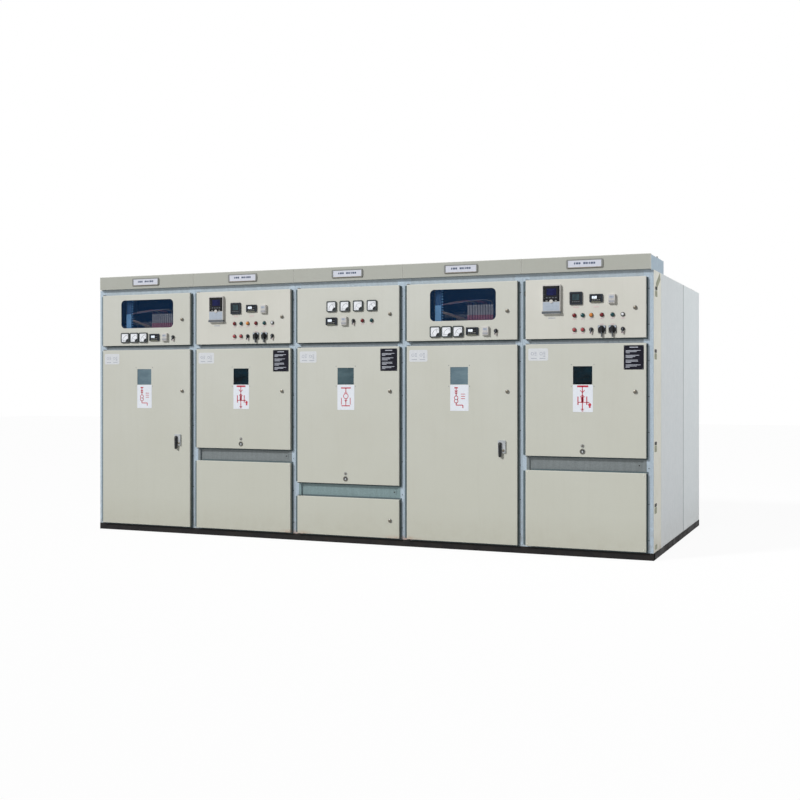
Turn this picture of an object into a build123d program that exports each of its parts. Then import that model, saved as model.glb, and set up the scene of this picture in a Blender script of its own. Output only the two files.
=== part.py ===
from build123d import *
import os

# Row: X runs along the cubicles, the doors face -Y, Z is up, all in millimetres
cubicle_count = 5
cubicle_width = 1000.0
row_depth = 2360.0
header_top = 2300.0
base_height = 55.0
join_gap = 1.0

# Sheet metal
sheet = 2.0
fold_bevel = 2.0
cut_overrun = 1.0
small_round_sides = 8

# Base channels
channel_depth = 45.0
channel_wall = 5.0
cross_member_width = 50.0

# Folded posts and rails
post_face = 56.0
post_depth = 60.0
post_lip = 25.0
rail_depth = 40.0
rail_cover = 12.0
bottom_rail_height = 45.0
crossbar_recess = 10.0

# Front, from the header down
header_height = 116.0
roof_drop = 4.0
top_rail_show = 53.0
instrument_door_height = 459.0
middle_rail_show = 40.0

# Front, from the floor up
door_rise = 9.0
feeder_cover_height = 590.0
feeder_crossbar_show = 112.0
tie_cover_height = 317.0
tie_crossbar_show = 114.0

# Doors and covers: folded trays that stand proud of the posts
door_margin = 34.0
door_depth = 22.0
door_gap = 8.0
rear_cover_depth = 22.0
rear_split = 1100.0
rear_split_gap = 20.0

# Hinges: tongues welded to the posts, with pins in the door's top and bottom edges
hinge_inset = 8.0
hinge_offset = 18.0
tongue_width = 20.0
tongue_reach = 26.0
tongue_thickness = 4.0
tongue_gap = 2.0
pin_radius = 4.0
pin_clearance = 0.2
pin_depth = 8.0

# Header, nameplate holder and wiring trunk
nameplate_width = 280.0
nameplate_height = 69.0
nameplate_depth = 5.0
nameplate_rim = 7.0
trunk_depth = 540.0
trunk_drop = 4.0

# Roof
flap_rows = 3
flap_margin = 60.0
flap_gap = 40.0
flap_height = 12.0
lug_width = 40.0
lug_height = 28.0
lug_thickness = 6.0
lug_hole_radius = 8.0
lug_head_share = 0.6
lug_inset = 120.0

# Ends
end_depth = 20.0
cheek_depth = 375.0
end_split = 1412.0
end_seam = 3.0
coupling_hole_radius = 11.0
coupling_hole_shares = (0.19, 0.4, 0.7, 0.92)

# Compartments
instrument_floor_drop = 32.0
compartment_depth = 1000.0
shelf_drop = 16.0

# Windows
large_window_width = 556.0
large_window_height = 253.0
large_window_radius = 38.0
view_window_width = 150.0
view_window_height = 140.0
view_window_drop = 242.0
glass = 4.0
glass_lap = 16.0
view_window_share = 0.485
large_window_share = 0.514
large_window_rise_share = 0.618

# Locks and racking holes
lock_radius = 13.0
lock_depth = 9.0
lock_share = 0.886
instrument_lock_rise_share = 0.492
compartment_lock_drop = 367.0
tie_cover_lock_rise_share = 0.45
racking_share = 0.484
racking_radius = 15.0
racking_rise = 42.0
release_radius = 8.0
release_rise = 85.0

# Swing handle
handle_plate_width = 62.0
handle_plate_height = 100.0
handle_plate_depth = 9.0
handle_share = 0.842
handle_drop = 800.0
lever_width = 22.0
lever_length = 118.0
lever_thickness = 14.0
lever_gap = 1.0
lever_hub_radius = 13.0
lever_round_sides = 16
lever_side_share = 0.3
lever_rise_share = 0.28

# Instruments: sizes of the front frames, and of the bodies behind the door
meter_size = 90.0
meter_depth = 12.0
meter_glass_share = 0.8
meter_recess = 3.0
meter_corner = 8.0
display_width = 102.0
display_height = 62.0
power_meter_size = 98.0
display_depth = 10.0
display_recess = 2.0
display_glass_share = 0.74
controller_width = 56.0
controller_height = 72.0
controller_depth = 20.0
relay_width = 143.0
relay_height = 228.0
relay_depth = 20.0
relay_recess = 4.0
relay_screen_share = 0.58
relay_key_radius = 14.0
relay_key_height = 4.0
frame_corner = 3.0
body_share = 0.86
body_length = 70.0
body_clearance = 0.5

# Lamps, push buttons and switches
ring_radius = 15.0
ring_depth = 6.0
lens_radius = 12.0
lens_depth = 13.0
lens_bevel = 4.0
button_radius = 10.5
button_depth = 11.0
neck_radius = 11.0
neck_length = 45.0
knob_grip_width = 9.0
knob_grip_depth = 20.0
selector_size = 58.0
selector_plate = 7.0
selector_hub_radius = 17.0
selector_hub_depth = 16.0
selector_grip_width = 12.0
selector_grip_length = 36.0
selector_grip_depth = 24.0
selector_lever_width = 7.0
selector_lever_length = 57.0
selector_lever_depth = 20.0

# Places on the instrument doors, as shares of the cubicle's width and the door's height
metering_meter_shares = (0.282, 0.380, 0.477)
metering_row_share = 0.155
metering_display_share = 0.596
metering_controller_share = 0.709
metering_knob_share = 0.792
feeder_relay_shares = (0.2445, 0.6645)
feeder_power_shares = (0.4345, 0.67)
feeder_display_shares = (0.5905, 0.663)
feeder_controller_shares = (0.711, 0.645)
lamp_column_shares = (0.421, 0.486, 0.552, 0.633, 0.715, 0.793)
lamp_row_share = 0.386
button_row_share = 0.146
tie_meter_shares = (0.357, 0.478, 0.600, 0.7255)
tie_meter_row_share = 0.6525
tie_row_share = 0.385
tie_display_share = 0.355
tie_controller_share = 0.474
tie_knob_share = 0.557
tie_lamp_shares = (0.639, 0.722)

# Terminal row behind the large windows
terminal_count = 14
terminal_width = 18.0
terminal_pitch = 21.0
terminal_height = 88.0
terminal_depth = 52.0
terminal_rail_height = 35.0
terminal_rail_depth = 12.0
terminal_from_share = 0.3
terminal_height_share = 0.44
terminal_set_back = 300.0
bracket_width = 30.0

# Withdrawable truck
truck_width = 800.0
truck_depth = 430.0
truck_set_back = 130.0
truck_drop = 72.0
truck_corner = 12.0
skid_width = 60.0
skid_height = 40.0
skid_inset = 40.0
fascia_margin = 70.0
fascia_recess = 12.0
grip_bar = 14.0
grip_reach = 52.0
grip_length = 170.0
grip_share = 0.36

header_bottom = header_top - header_height
roof_top = header_bottom - roof_drop
instrument_top = header_bottom - top_rail_show
instrument_bottom = instrument_top - instrument_door_height
compartment_top = instrument_bottom - middle_rail_show
instrument_floor = instrument_bottom - instrument_floor_drop
door_bottom = base_height + door_rise
feeder_cover_top = door_bottom + feeder_cover_height
feeder_door_bottom = feeder_cover_top + feeder_crossbar_show
tie_cover_top = door_bottom + tie_cover_height
tie_door_bottom = tie_cover_top + tie_crossbar_show
view_window_centre = compartment_top - view_window_drop
compartment_lock_height = compartment_top - compartment_lock_drop
handle_height = compartment_top - handle_drop
truck_top = compartment_top - truck_drop
instrument_depth = trunk_depth

row_width = cubicle_count * cubicle_width
door_back = -door_gap
door_front = door_back - door_depth
rear_plane = row_depth - rear_cover_depth
front_reach = -door_front + handle_plate_depth + lever_gap + lever_thickness
row_shift = Pos(-row_width / 2, (front_reach - row_depth) / 2, 0)

metering, feeder, tie = "metering", "feeder", "tie"
kinds = (metering, feeder, tie, metering, feeder)
compartment_bottoms = {metering: door_bottom, feeder: feeder_door_bottom, tie: tie_door_bottom}
cover_tops = {feeder: feeder_cover_top, tie: tie_cover_top}


def save(name, solids):
    moved = [row_shift * solid for solid in solids]
    export_step(Compound(children=moved), f"parts/{name}.step")


def block(x0, x1, y0, y1, z0, z1):
    size = Box(x1 - x0, y1 - y0, z1 - z0)
    return Pos((x0 + x1) / 2, (y0 + y1) / 2, (z0 + z1) / 2) * size


def left_of(index):
    return index * cubicle_width + join_gap / 2


def right_of(index):
    return (index + 1) * cubicle_width - join_gap / 2


def across(index, share):
    return (index + share) * cubicle_width


def up_instrument_door(share):
    return instrument_bottom + share * (instrument_top - instrument_bottom)


def small_round(radius):
    # small repeated rounds have few sides
    return Plane.XZ * RegularPolygon(radius, small_round_sides)


def cut_corner_block(width, height, depth, corner):
    # front face at -depth, back face on the XZ plane
    outline = chamfer(Rectangle(width, height).vertices(), corner)
    return extrude(Plane.XZ * outline, amount=depth)


def tray(width, height, depth):
    # folded panel, open at the back: back edges on the XZ plane, front face at -depth
    outer = Pos(0, -depth / 2, 0) * Box(width, depth, height)
    front = outer.faces().sort_by(Axis.Y)[0]
    outer = chamfer(front.edges(), fold_bevel)
    inner = Pos(0, -(depth - sheet) / 2 + cut_overrun / 2, 0)
    return outer - inner * Box(width - 2 * sheet, depth - sheet + cut_overrun, height - 2 * sheet)


def tray_between(x0, x1, z0, z1, back, depth):
    return Pos((x0 + x1) / 2, back, (z0 + z1) / 2) * tray(x1 - x0, z1 - z0, depth)


# Frame

def folded_post(height):
    points = [
        (0, 0),
        (post_face, 0),
        (post_face, post_lip),
        (post_face - sheet, post_lip),
        (post_face - sheet, sheet),
        (sheet, sheet),
        (sheet, post_depth),
        (0, post_depth),
    ]
    return extrude(make_face(Polyline(points, close=True)), amount=height)


def posts():
    post = folded_post(roof_top - sheet - base_height)
    rear_post = mirror(post, about=Plane.XZ)
    solids = []
    for i in range(cubicle_count):
        for shape, y in ((post, 0), (rear_post, rear_plane)):
            solids.append(Pos(left_of(i), y, base_height) * shape)
            solids.append(Pos(right_of(i), y, base_height) * mirror(shape, about=Plane.YZ))
    return solids


def rail(x0, x1, z0, z1, face):
    # channel that opens to the back
    body = block(x0, x1, face, face + rail_depth, z0, z1)
    open_back = face + rail_depth + cut_overrun
    hollow = block(x0 - cut_overrun, x1 + cut_overrun, face + sheet, open_back, z0 + sheet, z1 - sheet)
    return body - hollow


def rail_ends(index):
    return left_of(index) + post_face, right_of(index) - post_face


def front_rails():
    spans = (
        (instrument_top - rail_cover, roof_top - sheet),
        (compartment_top - rail_cover, instrument_bottom + rail_cover),
        (base_height, base_height + bottom_rail_height),
    )
    solids = []
    for i in range(cubicle_count):
        x0, x1 = rail_ends(i)
        solids += [rail(x0, x1, z0, z1, 0) for z0, z1 in spans]
    return solids


def rear_rails():
    spans = (
        (instrument_top - rail_cover, roof_top - sheet),
        (rear_split - rear_split_gap - rail_cover, rear_split + rear_split_gap + rail_cover),
        (base_height, base_height + bottom_rail_height),
    )
    solids = []
    for i in range(cubicle_count):
        x0, x1 = rail_ends(i)
        for z0, z1 in spans:
            solids.append(Pos(0, rear_plane, 0) * mirror(rail(x0, x1, z0, z1, 0), about=Plane.XZ))
    return solids


def crossbars():
    solids = []
    for i, kind in enumerate(kinds):
        if kind in cover_tops:
            x0, x1 = rail_ends(i)
            z0 = cover_tops[kind] - rail_cover
            z1 = compartment_bottoms[kind] + rail_cover
            solids.append(rail(x0, x1, z0, z1, crossbar_recess))
    return solids


def base_rails():
    x0 = -end_depth
    x1 = row_width + end_depth
    front = block(x0, x1, 0, channel_depth, 0, base_height)
    inner = block(
        x0 - cut_overrun,
        x1 + cut_overrun,
        channel_wall,
        channel_depth + cut_overrun,
        channel_wall,
        base_height - channel_wall,
    )
    front = front - inner
    return [front, Pos(0, row_depth, 0) * mirror(front, about=Plane.XZ)]


def base_cross_members():
    solids = []
    y0 = channel_depth
    y1 = row_depth - channel_depth
    for i in range(cubicle_count + 1):
        middle = i * (row_width + 2 * end_depth - cross_member_width) / cubicle_count
        middle += cross_member_width / 2 - end_depth
        x0 = middle - cross_member_width / 2
        x1 = middle + cross_member_width / 2
        tube = block(x0, x1, y0, y1, 0, base_height)
        bore = block(
            x0 + channel_wall,
            x1 - channel_wall,
            y0 - cut_overrun,
            y1 + cut_overrun,
            channel_wall,
            base_height - channel_wall,
        )
        solids.append(tube - bore)
    return solids


def partition_walls():
    solids = []
    for i in range(cubicle_count):
        for x0 in (left_of(i), right_of(i) - sheet):
            y1 = rear_plane - post_depth
            solids.append(block(x0, x0 + sheet, post_depth, y1, base_height, roof_top - sheet))
    return solids


def plates_across(y0, y1, z0, z1):
    return [block(left_of(i) + sheet, right_of(i) - sheet, y0, y1, z0, z1) for i in range(cubicle_count)]


def floor_plates():
    return plates_across(post_depth, rear_plane - post_depth, base_height, base_height + sheet)


# Compartments behind the doors

def shelf_level(kind):
    return feeder_door_bottom - shelf_drop if kind == metering else compartment_bottoms[kind] - shelf_drop


def shelf_plates():
    solids = plates_across(post_depth, compartment_depth, instrument_floor - sheet, instrument_floor)
    for i, kind in enumerate(kinds):
        top = shelf_level(kind)
        x0 = left_of(i) + sheet
        x1 = right_of(i) - sheet
        solids.append(block(x0, x1, post_depth, compartment_depth, top - sheet, top))
    return solids


def barrier_plates():
    top = roof_top - sheet
    inner_backs = plates_across(instrument_depth, instrument_depth + sheet, instrument_floor, top)
    bulkheads = plates_across(compartment_depth, compartment_depth + sheet, base_height + sheet, top)
    return inner_backs + bulkheads


def truck(kind):
    # housing with a recessed fascia and two pull grips, on skids that rest on its shelf
    height = truck_top - shelf_level(kind) - skid_height
    middle = skid_height + height / 2
    housing = cut_corner_block(truck_width, height, truck_depth, truck_corner)
    housing = Pos(0, truck_depth, middle) * housing
    recess = Box(truck_width - 2 * fascia_margin, 2 * fascia_recess, height - 2 * fascia_margin)
    housing -= Pos(0, 0, middle) * recess
    for side in (-1, 1):
        hand_gap = Box(2 * grip_bar, grip_reach - grip_bar, grip_length - 2 * grip_bar)
        grip = Box(grip_bar, grip_reach, grip_length) - Pos(0, grip_bar / 2, 0) * hand_gap
        housing += Pos(side * grip_share * truck_width, fascia_recess - grip_reach / 2, middle) * grip
        outer = side * (truck_width / 2 - skid_inset)
        inner = outer - side * skid_width
        x0, x1 = sorted((inner, outer))
        housing += block(x0, x1, skid_inset, truck_depth - skid_inset, 0, skid_height)
    return housing


def trucks():
    solids = []
    for i, kind in enumerate(kinds):
        solids.append(Pos(across(i, 1 / 2), truck_set_back, shelf_level(kind)) * truck(kind))
    return solids


def terminal_rows():
    # terminal blocks on a rail that two brackets hold off the back of the instrument compartment
    solids = []
    for i, kind in enumerate(kinds):
        if kind != metering:
            continue
        x0 = across(i, terminal_from_share)
        x1 = x0 + terminal_count * terminal_pitch
        middle = up_instrument_door(terminal_height_share)
        rail_back = terminal_set_back + terminal_depth + terminal_rail_depth
        z0 = middle - terminal_rail_height / 2
        z1 = middle + terminal_rail_height / 2
        row = block(x0, x1, rail_back - terminal_rail_depth, rail_back, z0, z1)
        for x in (x0, x1 - bracket_width):
            row += block(x, x + bracket_width, rail_back, instrument_depth, z0, z1)
        for j in range(terminal_count):
            x = x0 + (j + 1 / 2) * terminal_pitch
            row += block(
                x - terminal_width / 2,
                x + terminal_width / 2,
                terminal_set_back,
                terminal_set_back + terminal_depth,
                middle - terminal_height / 2,
                middle + terminal_height / 2,
            )
        solids.append(row)
    return solids


# Top of the row

def header_panels():
    solids = []
    for i in range(cubicle_count):
        solids.append(tray_between(left_of(i), right_of(i), header_bottom, header_top, 0, -door_front))
    return solids


def nameplate_holders():
    holder = cut_corner_block(nameplate_width, nameplate_height, nameplate_depth, frame_corner)
    pocket = Box(nameplate_width - 2 * nameplate_rim, nameplate_depth, nameplate_height - 2 * nameplate_rim)
    holder -= Pos(0, -nameplate_depth, 0) * pocket
    middle = (header_bottom + header_top) / 2
    return [Pos(across(i, 1 / 2), door_front, middle) * holder for i in range(cubicle_count)]


def wiring_trunks():
    # folded hoods over the wiring between cubicles, closed at the two ends of the row
    solids = []
    top = header_top - trunk_drop
    for i in range(cubicle_count):
        x0 = left_of(i)
        x1 = right_of(i)
        hood = block(x0, x1, 0, trunk_depth, roof_top, top)
        open_left = x0 + sheet if i == 0 else x0 - cut_overrun
        open_right = x1 - sheet if i == cubicle_count - 1 else x1 + cut_overrun
        hood -= block(open_left, open_right, sheet, trunk_depth - sheet, roof_top - cut_overrun, top - sheet)
        solids.append(hood)
    return solids


def roof_plates():
    z0 = roof_top - sheet
    return [block(left_of(i), right_of(i), 0, rear_plane, z0, roof_top) for i in range(cubicle_count)]


def relief_flaps():
    solids = []
    y0 = trunk_depth + flap_margin
    span = (rear_plane - flap_margin - y0 - (flap_rows - 1) * flap_gap) / flap_rows
    width = cubicle_width - 2 * flap_margin
    for i in range(cubicle_count):
        for row in range(flap_rows):
            middle = y0 + row * (span + flap_gap) + span / 2
            flap = Rot(-90, 0, 0) * tray(width, span, flap_height)
            solids.append(Pos(across(i, 1 / 2), middle, roof_top) * flap)
    return solids


def lifting_lug():
    foot = lug_width / 2
    head = foot * lug_head_share
    outline = [(-foot, 0), (foot, 0), (head, lug_height), (-head, lug_height)]
    plate = make_face(Polyline(outline, close=True))
    eye = Pos(0, lug_height / 2) * RegularPolygon(lug_hole_radius, small_round_sides)
    return extrude(Plane.YZ * (plate - eye), amount=lug_thickness / 2, both=True)


def lifting_lugs():
    lug = lifting_lug()
    solids = []
    trunk_top = header_top - trunk_drop
    for i in range(cubicle_count):
        for x in (left_of(i) + flap_margin / 2, right_of(i) - flap_margin / 2):
            solids.append(Pos(x, trunk_depth - lug_inset, trunk_top) * lug)
            solids.append(Pos(x, rear_plane - lug_inset, roof_top) * lug)
    return solids


# Ends of the row

def on_right_end(y0, y1, panel_top):
    panel = Rot(0, 0, 90) * tray(y1 - y0, panel_top - base_height, end_depth)
    return Pos(right_of(cubicle_count - 1), (y0 + y1) / 2, (base_height + panel_top) / 2) * panel


def on_both_ends(panel):
    middle = Plane.YZ.offset(row_width / 2)
    return [panel, mirror(panel, about=middle)]


def end_cheeks():
    cheek = on_right_end(0, cheek_depth, roof_top)
    for share in coupling_hole_shares:
        z = roof_top - share * (roof_top - base_height)
        hole = extrude(small_round(coupling_hole_radius), amount=sheet + cut_overrun, both=True)
        cheek -= Pos(right_of(cubicle_count - 1) + end_depth, cheek_depth / 2, z) * Rot(0, 0, 90) * hole
    return on_both_ends(cheek)


def end_panels():
    front = on_right_end(cheek_depth + end_seam, end_split, roof_top)
    rear = on_right_end(end_split + end_seam, row_depth, roof_top)
    return on_both_ends(front) + on_both_ends(rear)


def rear_covers():
    spans = ((door_bottom, rear_split - rear_split_gap), (rear_split + rear_split_gap, instrument_top))
    solids = []
    for i in range(cubicle_count):
        for z0, z1 in spans:
            cover = Rot(0, 0, 180) * tray(cubicle_width - 2 * door_margin, z1 - z0, rear_cover_depth)
            solids.append(Pos(across(i, 1 / 2), rear_plane, (z0 + z1) / 2) * cover)
    return solids


# Instruments, each with its front frame on the XZ plane, facing -Y, and its body behind

def device_body(width, height):
    return Pos(0, body_length / 2, 0) * Box(width * body_share, body_length, height * body_share)


def framed_device(width, height, depth):
    return cut_corner_block(width, height, depth, frame_corner) + device_body(width, height)


def pointer_meter():
    size = meter_size * meter_glass_share
    dial = Pos(0, -meter_depth, 0) * Box(size, 2 * meter_recess, size)
    frame = cut_corner_block(meter_size, meter_size, meter_depth, meter_corner)
    return frame + device_body(meter_size, meter_size) - dial


def digital_meter(width, height):
    screen = Box(width * display_glass_share, 2 * display_recess, height * display_glass_share)
    return framed_device(width, height, display_depth) - Pos(0, -display_depth, 0) * screen


def climate_controller():
    case = framed_device(controller_width, controller_height, controller_depth)
    front_edges = case.faces().sort_by(Axis.Y)[0].edges()
    return chamfer(front_edges, frame_corner)


def protection_relay():
    case = framed_device(relay_width, relay_height, relay_depth)
    screen_height = relay_height * relay_screen_share
    screen = Box(relay_width * display_glass_share, 2 * relay_recess, screen_height * display_glass_share)
    case -= Pos(0, -relay_depth, (relay_height - screen_height) / 2) * screen
    key = stem(relay_key_radius, 0, relay_depth + relay_key_height)
    return case + Pos(0, 0, relay_height / 2 - screen_height) * key


def stem(radius, back, front):
    # rod through the door, its ends given as distances in front of the door
    return Pos(0, -back, 0) * extrude(small_round(radius), amount=front - back)


def panel_fitting():
    return stem(neck_radius, -neck_length, 0) + stem(ring_radius, 0, ring_depth)


def lamp():
    lens = stem(lens_radius, 0, lens_depth)
    lens = chamfer(lens.faces().sort_by(Axis.Y)[0].edges(), lens_bevel)
    return panel_fitting() + lens


def push_button():
    return panel_fitting() + stem(button_radius, 0, button_depth)


def rotary_knob():
    grip = Pos(0, -knob_grip_depth / 2, 0) * Box(knob_grip_width, knob_grip_depth, 2 * lens_radius)
    return panel_fitting() + grip


def selector_switch():
    body = framed_device(selector_size, selector_size, selector_plate)
    hub = stem(selector_hub_radius, 0, selector_hub_depth)
    grip = Box(selector_grip_width, selector_grip_depth, selector_grip_length)
    lever = Box(selector_lever_width, selector_lever_depth, selector_lever_length)
    body += Pos(0, -selector_grip_depth / 2, 0) * grip
    return body + hub + Pos(0, -selector_lever_depth / 2, -selector_lever_length / 2) * lever


def on_instrument_door(index, x_share, z_share, device):
    return Pos(across(index, x_share), door_front, up_instrument_door(z_share)) * device


def square_hole(index, x_share, z_share, width, height):
    opening = Box(
        width * body_share + 2 * body_clearance,
        2 * (sheet + cut_overrun),
        height * body_share + 2 * body_clearance,
    )
    return on_instrument_door(index, x_share, z_share, opening)


def round_hole(index, x_share, z_share):
    opening = extrude(small_round(neck_radius + body_clearance), amount=sheet + cut_overrun, both=True)
    return on_instrument_door(index, x_share, z_share, opening)


# Instruments of one cubicle as (node, x share, z share)

def instrument_places(kind):
    if kind == metering:
        row = metering_row_share
        places = [("panel_meters", share, row) for share in metering_meter_shares]
        places.append(("digital_meters", metering_display_share, row))
        places.append(("climate_controllers", metering_controller_share, row))
        places.append(("rotary_knobs", metering_knob_share, row))
    elif kind == feeder:
        places = [
            ("protection_relays", *feeder_relay_shares),
            ("power_meters", *feeder_power_shares),
            ("digital_meters", *feeder_display_shares),
            ("climate_controllers", *feeder_controller_shares),
        ]
        places += [("indicator_lamps", share, lamp_row_share) for share in lamp_column_shares]
        second_row = (
            "push_buttons",
            "push_buttons",
            "rotary_knobs",
            "selector_switches",
            "selector_switches",
            "rotary_knobs",
        )
        places += [(node, share, button_row_share) for node, share in zip(second_row, lamp_column_shares)]
    else:
        places = [("panel_meters", share, tie_meter_row_share) for share in tie_meter_shares]
        places.append(("digital_meters", tie_display_share, tie_row_share))
        places.append(("climate_controllers", tie_controller_share, tie_row_share))
        places.append(("rotary_knobs", tie_knob_share, tie_row_share))
        places += [("indicator_lamps", share, tie_row_share) for share in tie_lamp_shares]
    return places


framed_sizes = {
    "panel_meters": (meter_size, meter_size),
    "digital_meters": (display_width, display_height),
    "power_meters": (power_meter_size, power_meter_size),
    "climate_controllers": (controller_width, controller_height),
    "protection_relays": (relay_width, relay_height),
    "selector_switches": (selector_size, selector_size),
}


def instruments():
    shapes = {
        "panel_meters": pointer_meter(),
        "digital_meters": digital_meter(display_width, display_height),
        "power_meters": digital_meter(power_meter_size, power_meter_size),
        "climate_controllers": climate_controller(),
        "protection_relays": protection_relay(),
        "indicator_lamps": lamp(),
        "push_buttons": push_button(),
        "rotary_knobs": rotary_knob(),
        "selector_switches": selector_switch(),
    }
    nodes = {name: [] for name in shapes}
    for i, kind in enumerate(kinds):
        for name, x_share, z_share in instrument_places(kind):
            nodes[name].append(on_instrument_door(i, x_share, z_share, shapes[name]))
    return nodes


# Doors

def hinge_x(index):
    return index * cubicle_width + door_margin + hinge_inset


bore_radius = pin_radius + pin_clearance
round_bore = Circle(bore_radius)
few_sided_bore = RegularPolygon(bore_radius, small_round_sides)


def door_panel(index, z0, z1, bore):
    x0 = index * cubicle_width + door_margin
    x1 = (index + 1) * cubicle_width - door_margin
    panel = tray_between(x0, x1, z0, z1, door_back, door_depth)
    for z in (z0, z1):
        hole = extrude(bore, amount=sheet + cut_overrun, both=True)
        panel -= Pos(hinge_x(index), -hinge_offset, z) * hole
    return panel


def lock(index, height):
    return Pos(across(index, lock_share), door_front, height) * stem(lock_radius, 0, lock_depth)


def window_cut(width, height):
    return Box(width, 2 * (sheet + cut_overrun), height)


def pane(width, height):
    # glass that lies against the inside of the door's face
    size = Box(width + 2 * glass_lap, glass, height + 2 * glass_lap)
    return Pos(0, sheet + glass / 2, 0) * size


def instrument_door(index, kind):
    panel = door_panel(index, instrument_bottom, instrument_top, few_sided_bore)
    panel += lock(index, up_instrument_door(instrument_lock_rise_share))
    for name, x_share, z_share in instrument_places(kind):
        if name in framed_sizes:
            panel -= square_hole(index, x_share, z_share, *framed_sizes[name])
        else:
            panel -= round_hole(index, x_share, z_share)
    if kind == metering:
        opening = RectangleRounded(large_window_width, large_window_height, large_window_radius)
        cut = extrude(Plane.XZ * opening, amount=sheet + cut_overrun, both=True)
        panel -= on_instrument_door(index, large_window_share, large_window_rise_share, cut)
    return panel


def instrument_windows():
    sheet_of_glass = pane(large_window_width, large_window_height)
    return [
        on_instrument_door(i, large_window_share, large_window_rise_share, sheet_of_glass)
        for i, kind in enumerate(kinds)
        if kind == metering
    ]


def compartment_door(index, kind):
    bottom = compartment_bottoms[kind]
    panel = door_panel(index, bottom, compartment_top, round_bore)
    panel += lock(index, compartment_lock_height)
    cut = window_cut(view_window_width, view_window_height)
    panel -= Pos(across(index, view_window_share), door_front, view_window_centre) * cut
    if kind != metering:
        for radius, rise in ((racking_radius, racking_rise), (release_radius, release_rise)):
            port = extrude(small_round(radius), amount=sheet + cut_overrun, both=True)
            panel -= Pos(across(index, racking_share), door_front, bottom + rise) * port
    return panel


def view_pane(index):
    sheet_of_glass = pane(view_window_width, view_window_height)
    return Pos(across(index, view_window_share), door_front, view_window_centre) * sheet_of_glass


def cable_door(index):
    lock_height = door_bottom + tie_cover_lock_rise_share * tie_cover_height
    return door_panel(index, door_bottom, tie_cover_top, round_bore) + lock(index, lock_height)


def cable_covers():
    solids = []
    for i, kind in enumerate(kinds):
        if kind == feeder:
            x0 = i * cubicle_width + door_margin
            x1 = (i + 1) * cubicle_width - door_margin
            solids.append(tray_between(x0, x1, door_bottom, feeder_cover_top, 0, -door_front))
    return solids


def hinge_tongue(upward):
    # tongue on the XY plane with the pin rising from it, or turned over
    outline = Pos(0, -tongue_reach / 2) * Rectangle(tongue_width, tongue_reach)
    tongue = extrude(outline, amount=-tongue_thickness)
    pin = Pos(0, -hinge_offset, tongue_gap + pin_depth) * RegularPolygon(pin_radius, small_round_sides)
    tongue += extrude(pin, amount=-(tongue_gap + pin_depth + tongue_thickness / 2))
    return tongue if upward else mirror(tongue, about=Plane.XY)


def hinge_tongues():
    lower = hinge_tongue(True)
    upper = hinge_tongue(False)
    solids = []
    for i, kind in enumerate(kinds):
        spans = [(instrument_bottom, instrument_top), (compartment_bottoms[kind], compartment_top)]
        if kind == tie:
            spans.append((door_bottom, tie_cover_top))
        for z0, z1 in spans:
            solids.append(Pos(hinge_x(i), 0, z0 - tongue_gap) * lower)
            solids.append(Pos(hinge_x(i), 0, z1 + tongue_gap) * upper)
    return solids


# Swing handles

lever_pivot_x = (lever_side_share - 1 / 2) * handle_plate_width
lever_pivot_z = (1 / 2 - lever_rise_share) * handle_plate_height


def handle_plate(index):
    plate = cut_corner_block(handle_plate_width, handle_plate_height, handle_plate_depth, frame_corner)
    return Pos(across(index, handle_share), door_front, handle_height) * plate


def handle_lever(index):
    # lever that hangs from its hub, tapering to a rounded end
    hub = RegularPolygon(lever_hub_radius, lever_round_sides)
    tip = RegularPolygon(lever_width / 2, lever_round_sides)
    tip = Pos(0, lever_width / 2 - lever_length + lever_hub_radius) * tip
    outline = make_hull((hub + tip).edges())
    lever = extrude(Plane.XZ * outline, amount=lever_thickness)
    y = door_front - handle_plate_depth - lever_gap
    pivot = Pos(across(index, handle_share) + lever_pivot_x, y, handle_height + lever_pivot_z)
    spindle = extrude(Plane.XZ * Circle(lever_hub_radius / 2), amount=-(lever_gap - pin_clearance))
    return pivot * (lever + spindle)


os.makedirs("parts", exist_ok=True)
save("base_rails", base_rails())
save("base_cross_members", base_cross_members())
save("floor_plates", floor_plates())
save("posts", posts())
save("cross_rails", front_rails() + rear_rails())
save("crossbars", crossbars())
save("partition_walls", partition_walls())
save("shelf_plates", shelf_plates())
save("barrier_plates", barrier_plates())
save("trucks", trucks())
save("terminal_rows", terminal_rows())
save("header_panels", header_panels())
save("nameplate_holders", nameplate_holders())
save("wiring_trunks", wiring_trunks())
save("roof_plates", roof_plates())
save("relief_flaps", relief_flaps())
save("lifting_lugs", lifting_lugs())
save("end_cheeks", end_cheeks())
save("end_panels", end_panels())
save("rear_covers", rear_covers())
save("cable_covers", cable_covers())
save("hinge_tongues", hinge_tongues())
save("instrument_windows", instrument_windows())
for node_name, node_solids in instruments().items():
    save(node_name, node_solids)
for position, cubicle_kind in enumerate(kinds):
    number = position + 1
    save(f"instrument_door_{number}", [instrument_door(position, cubicle_kind)])
    save(f"compartment_door_{number}", [compartment_door(position, cubicle_kind)])
    save(f"view_window_{number}", [view_pane(position)])
    if cubicle_kind == metering:
        save(f"handle_plate_{number}", [handle_plate(position)])
        save(f"handle_lever_{number}", [handle_lever(position)])
    if cubicle_kind == tie:
        save(f"cable_door_{number}", [cable_door(position)])
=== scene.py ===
import math

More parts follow.
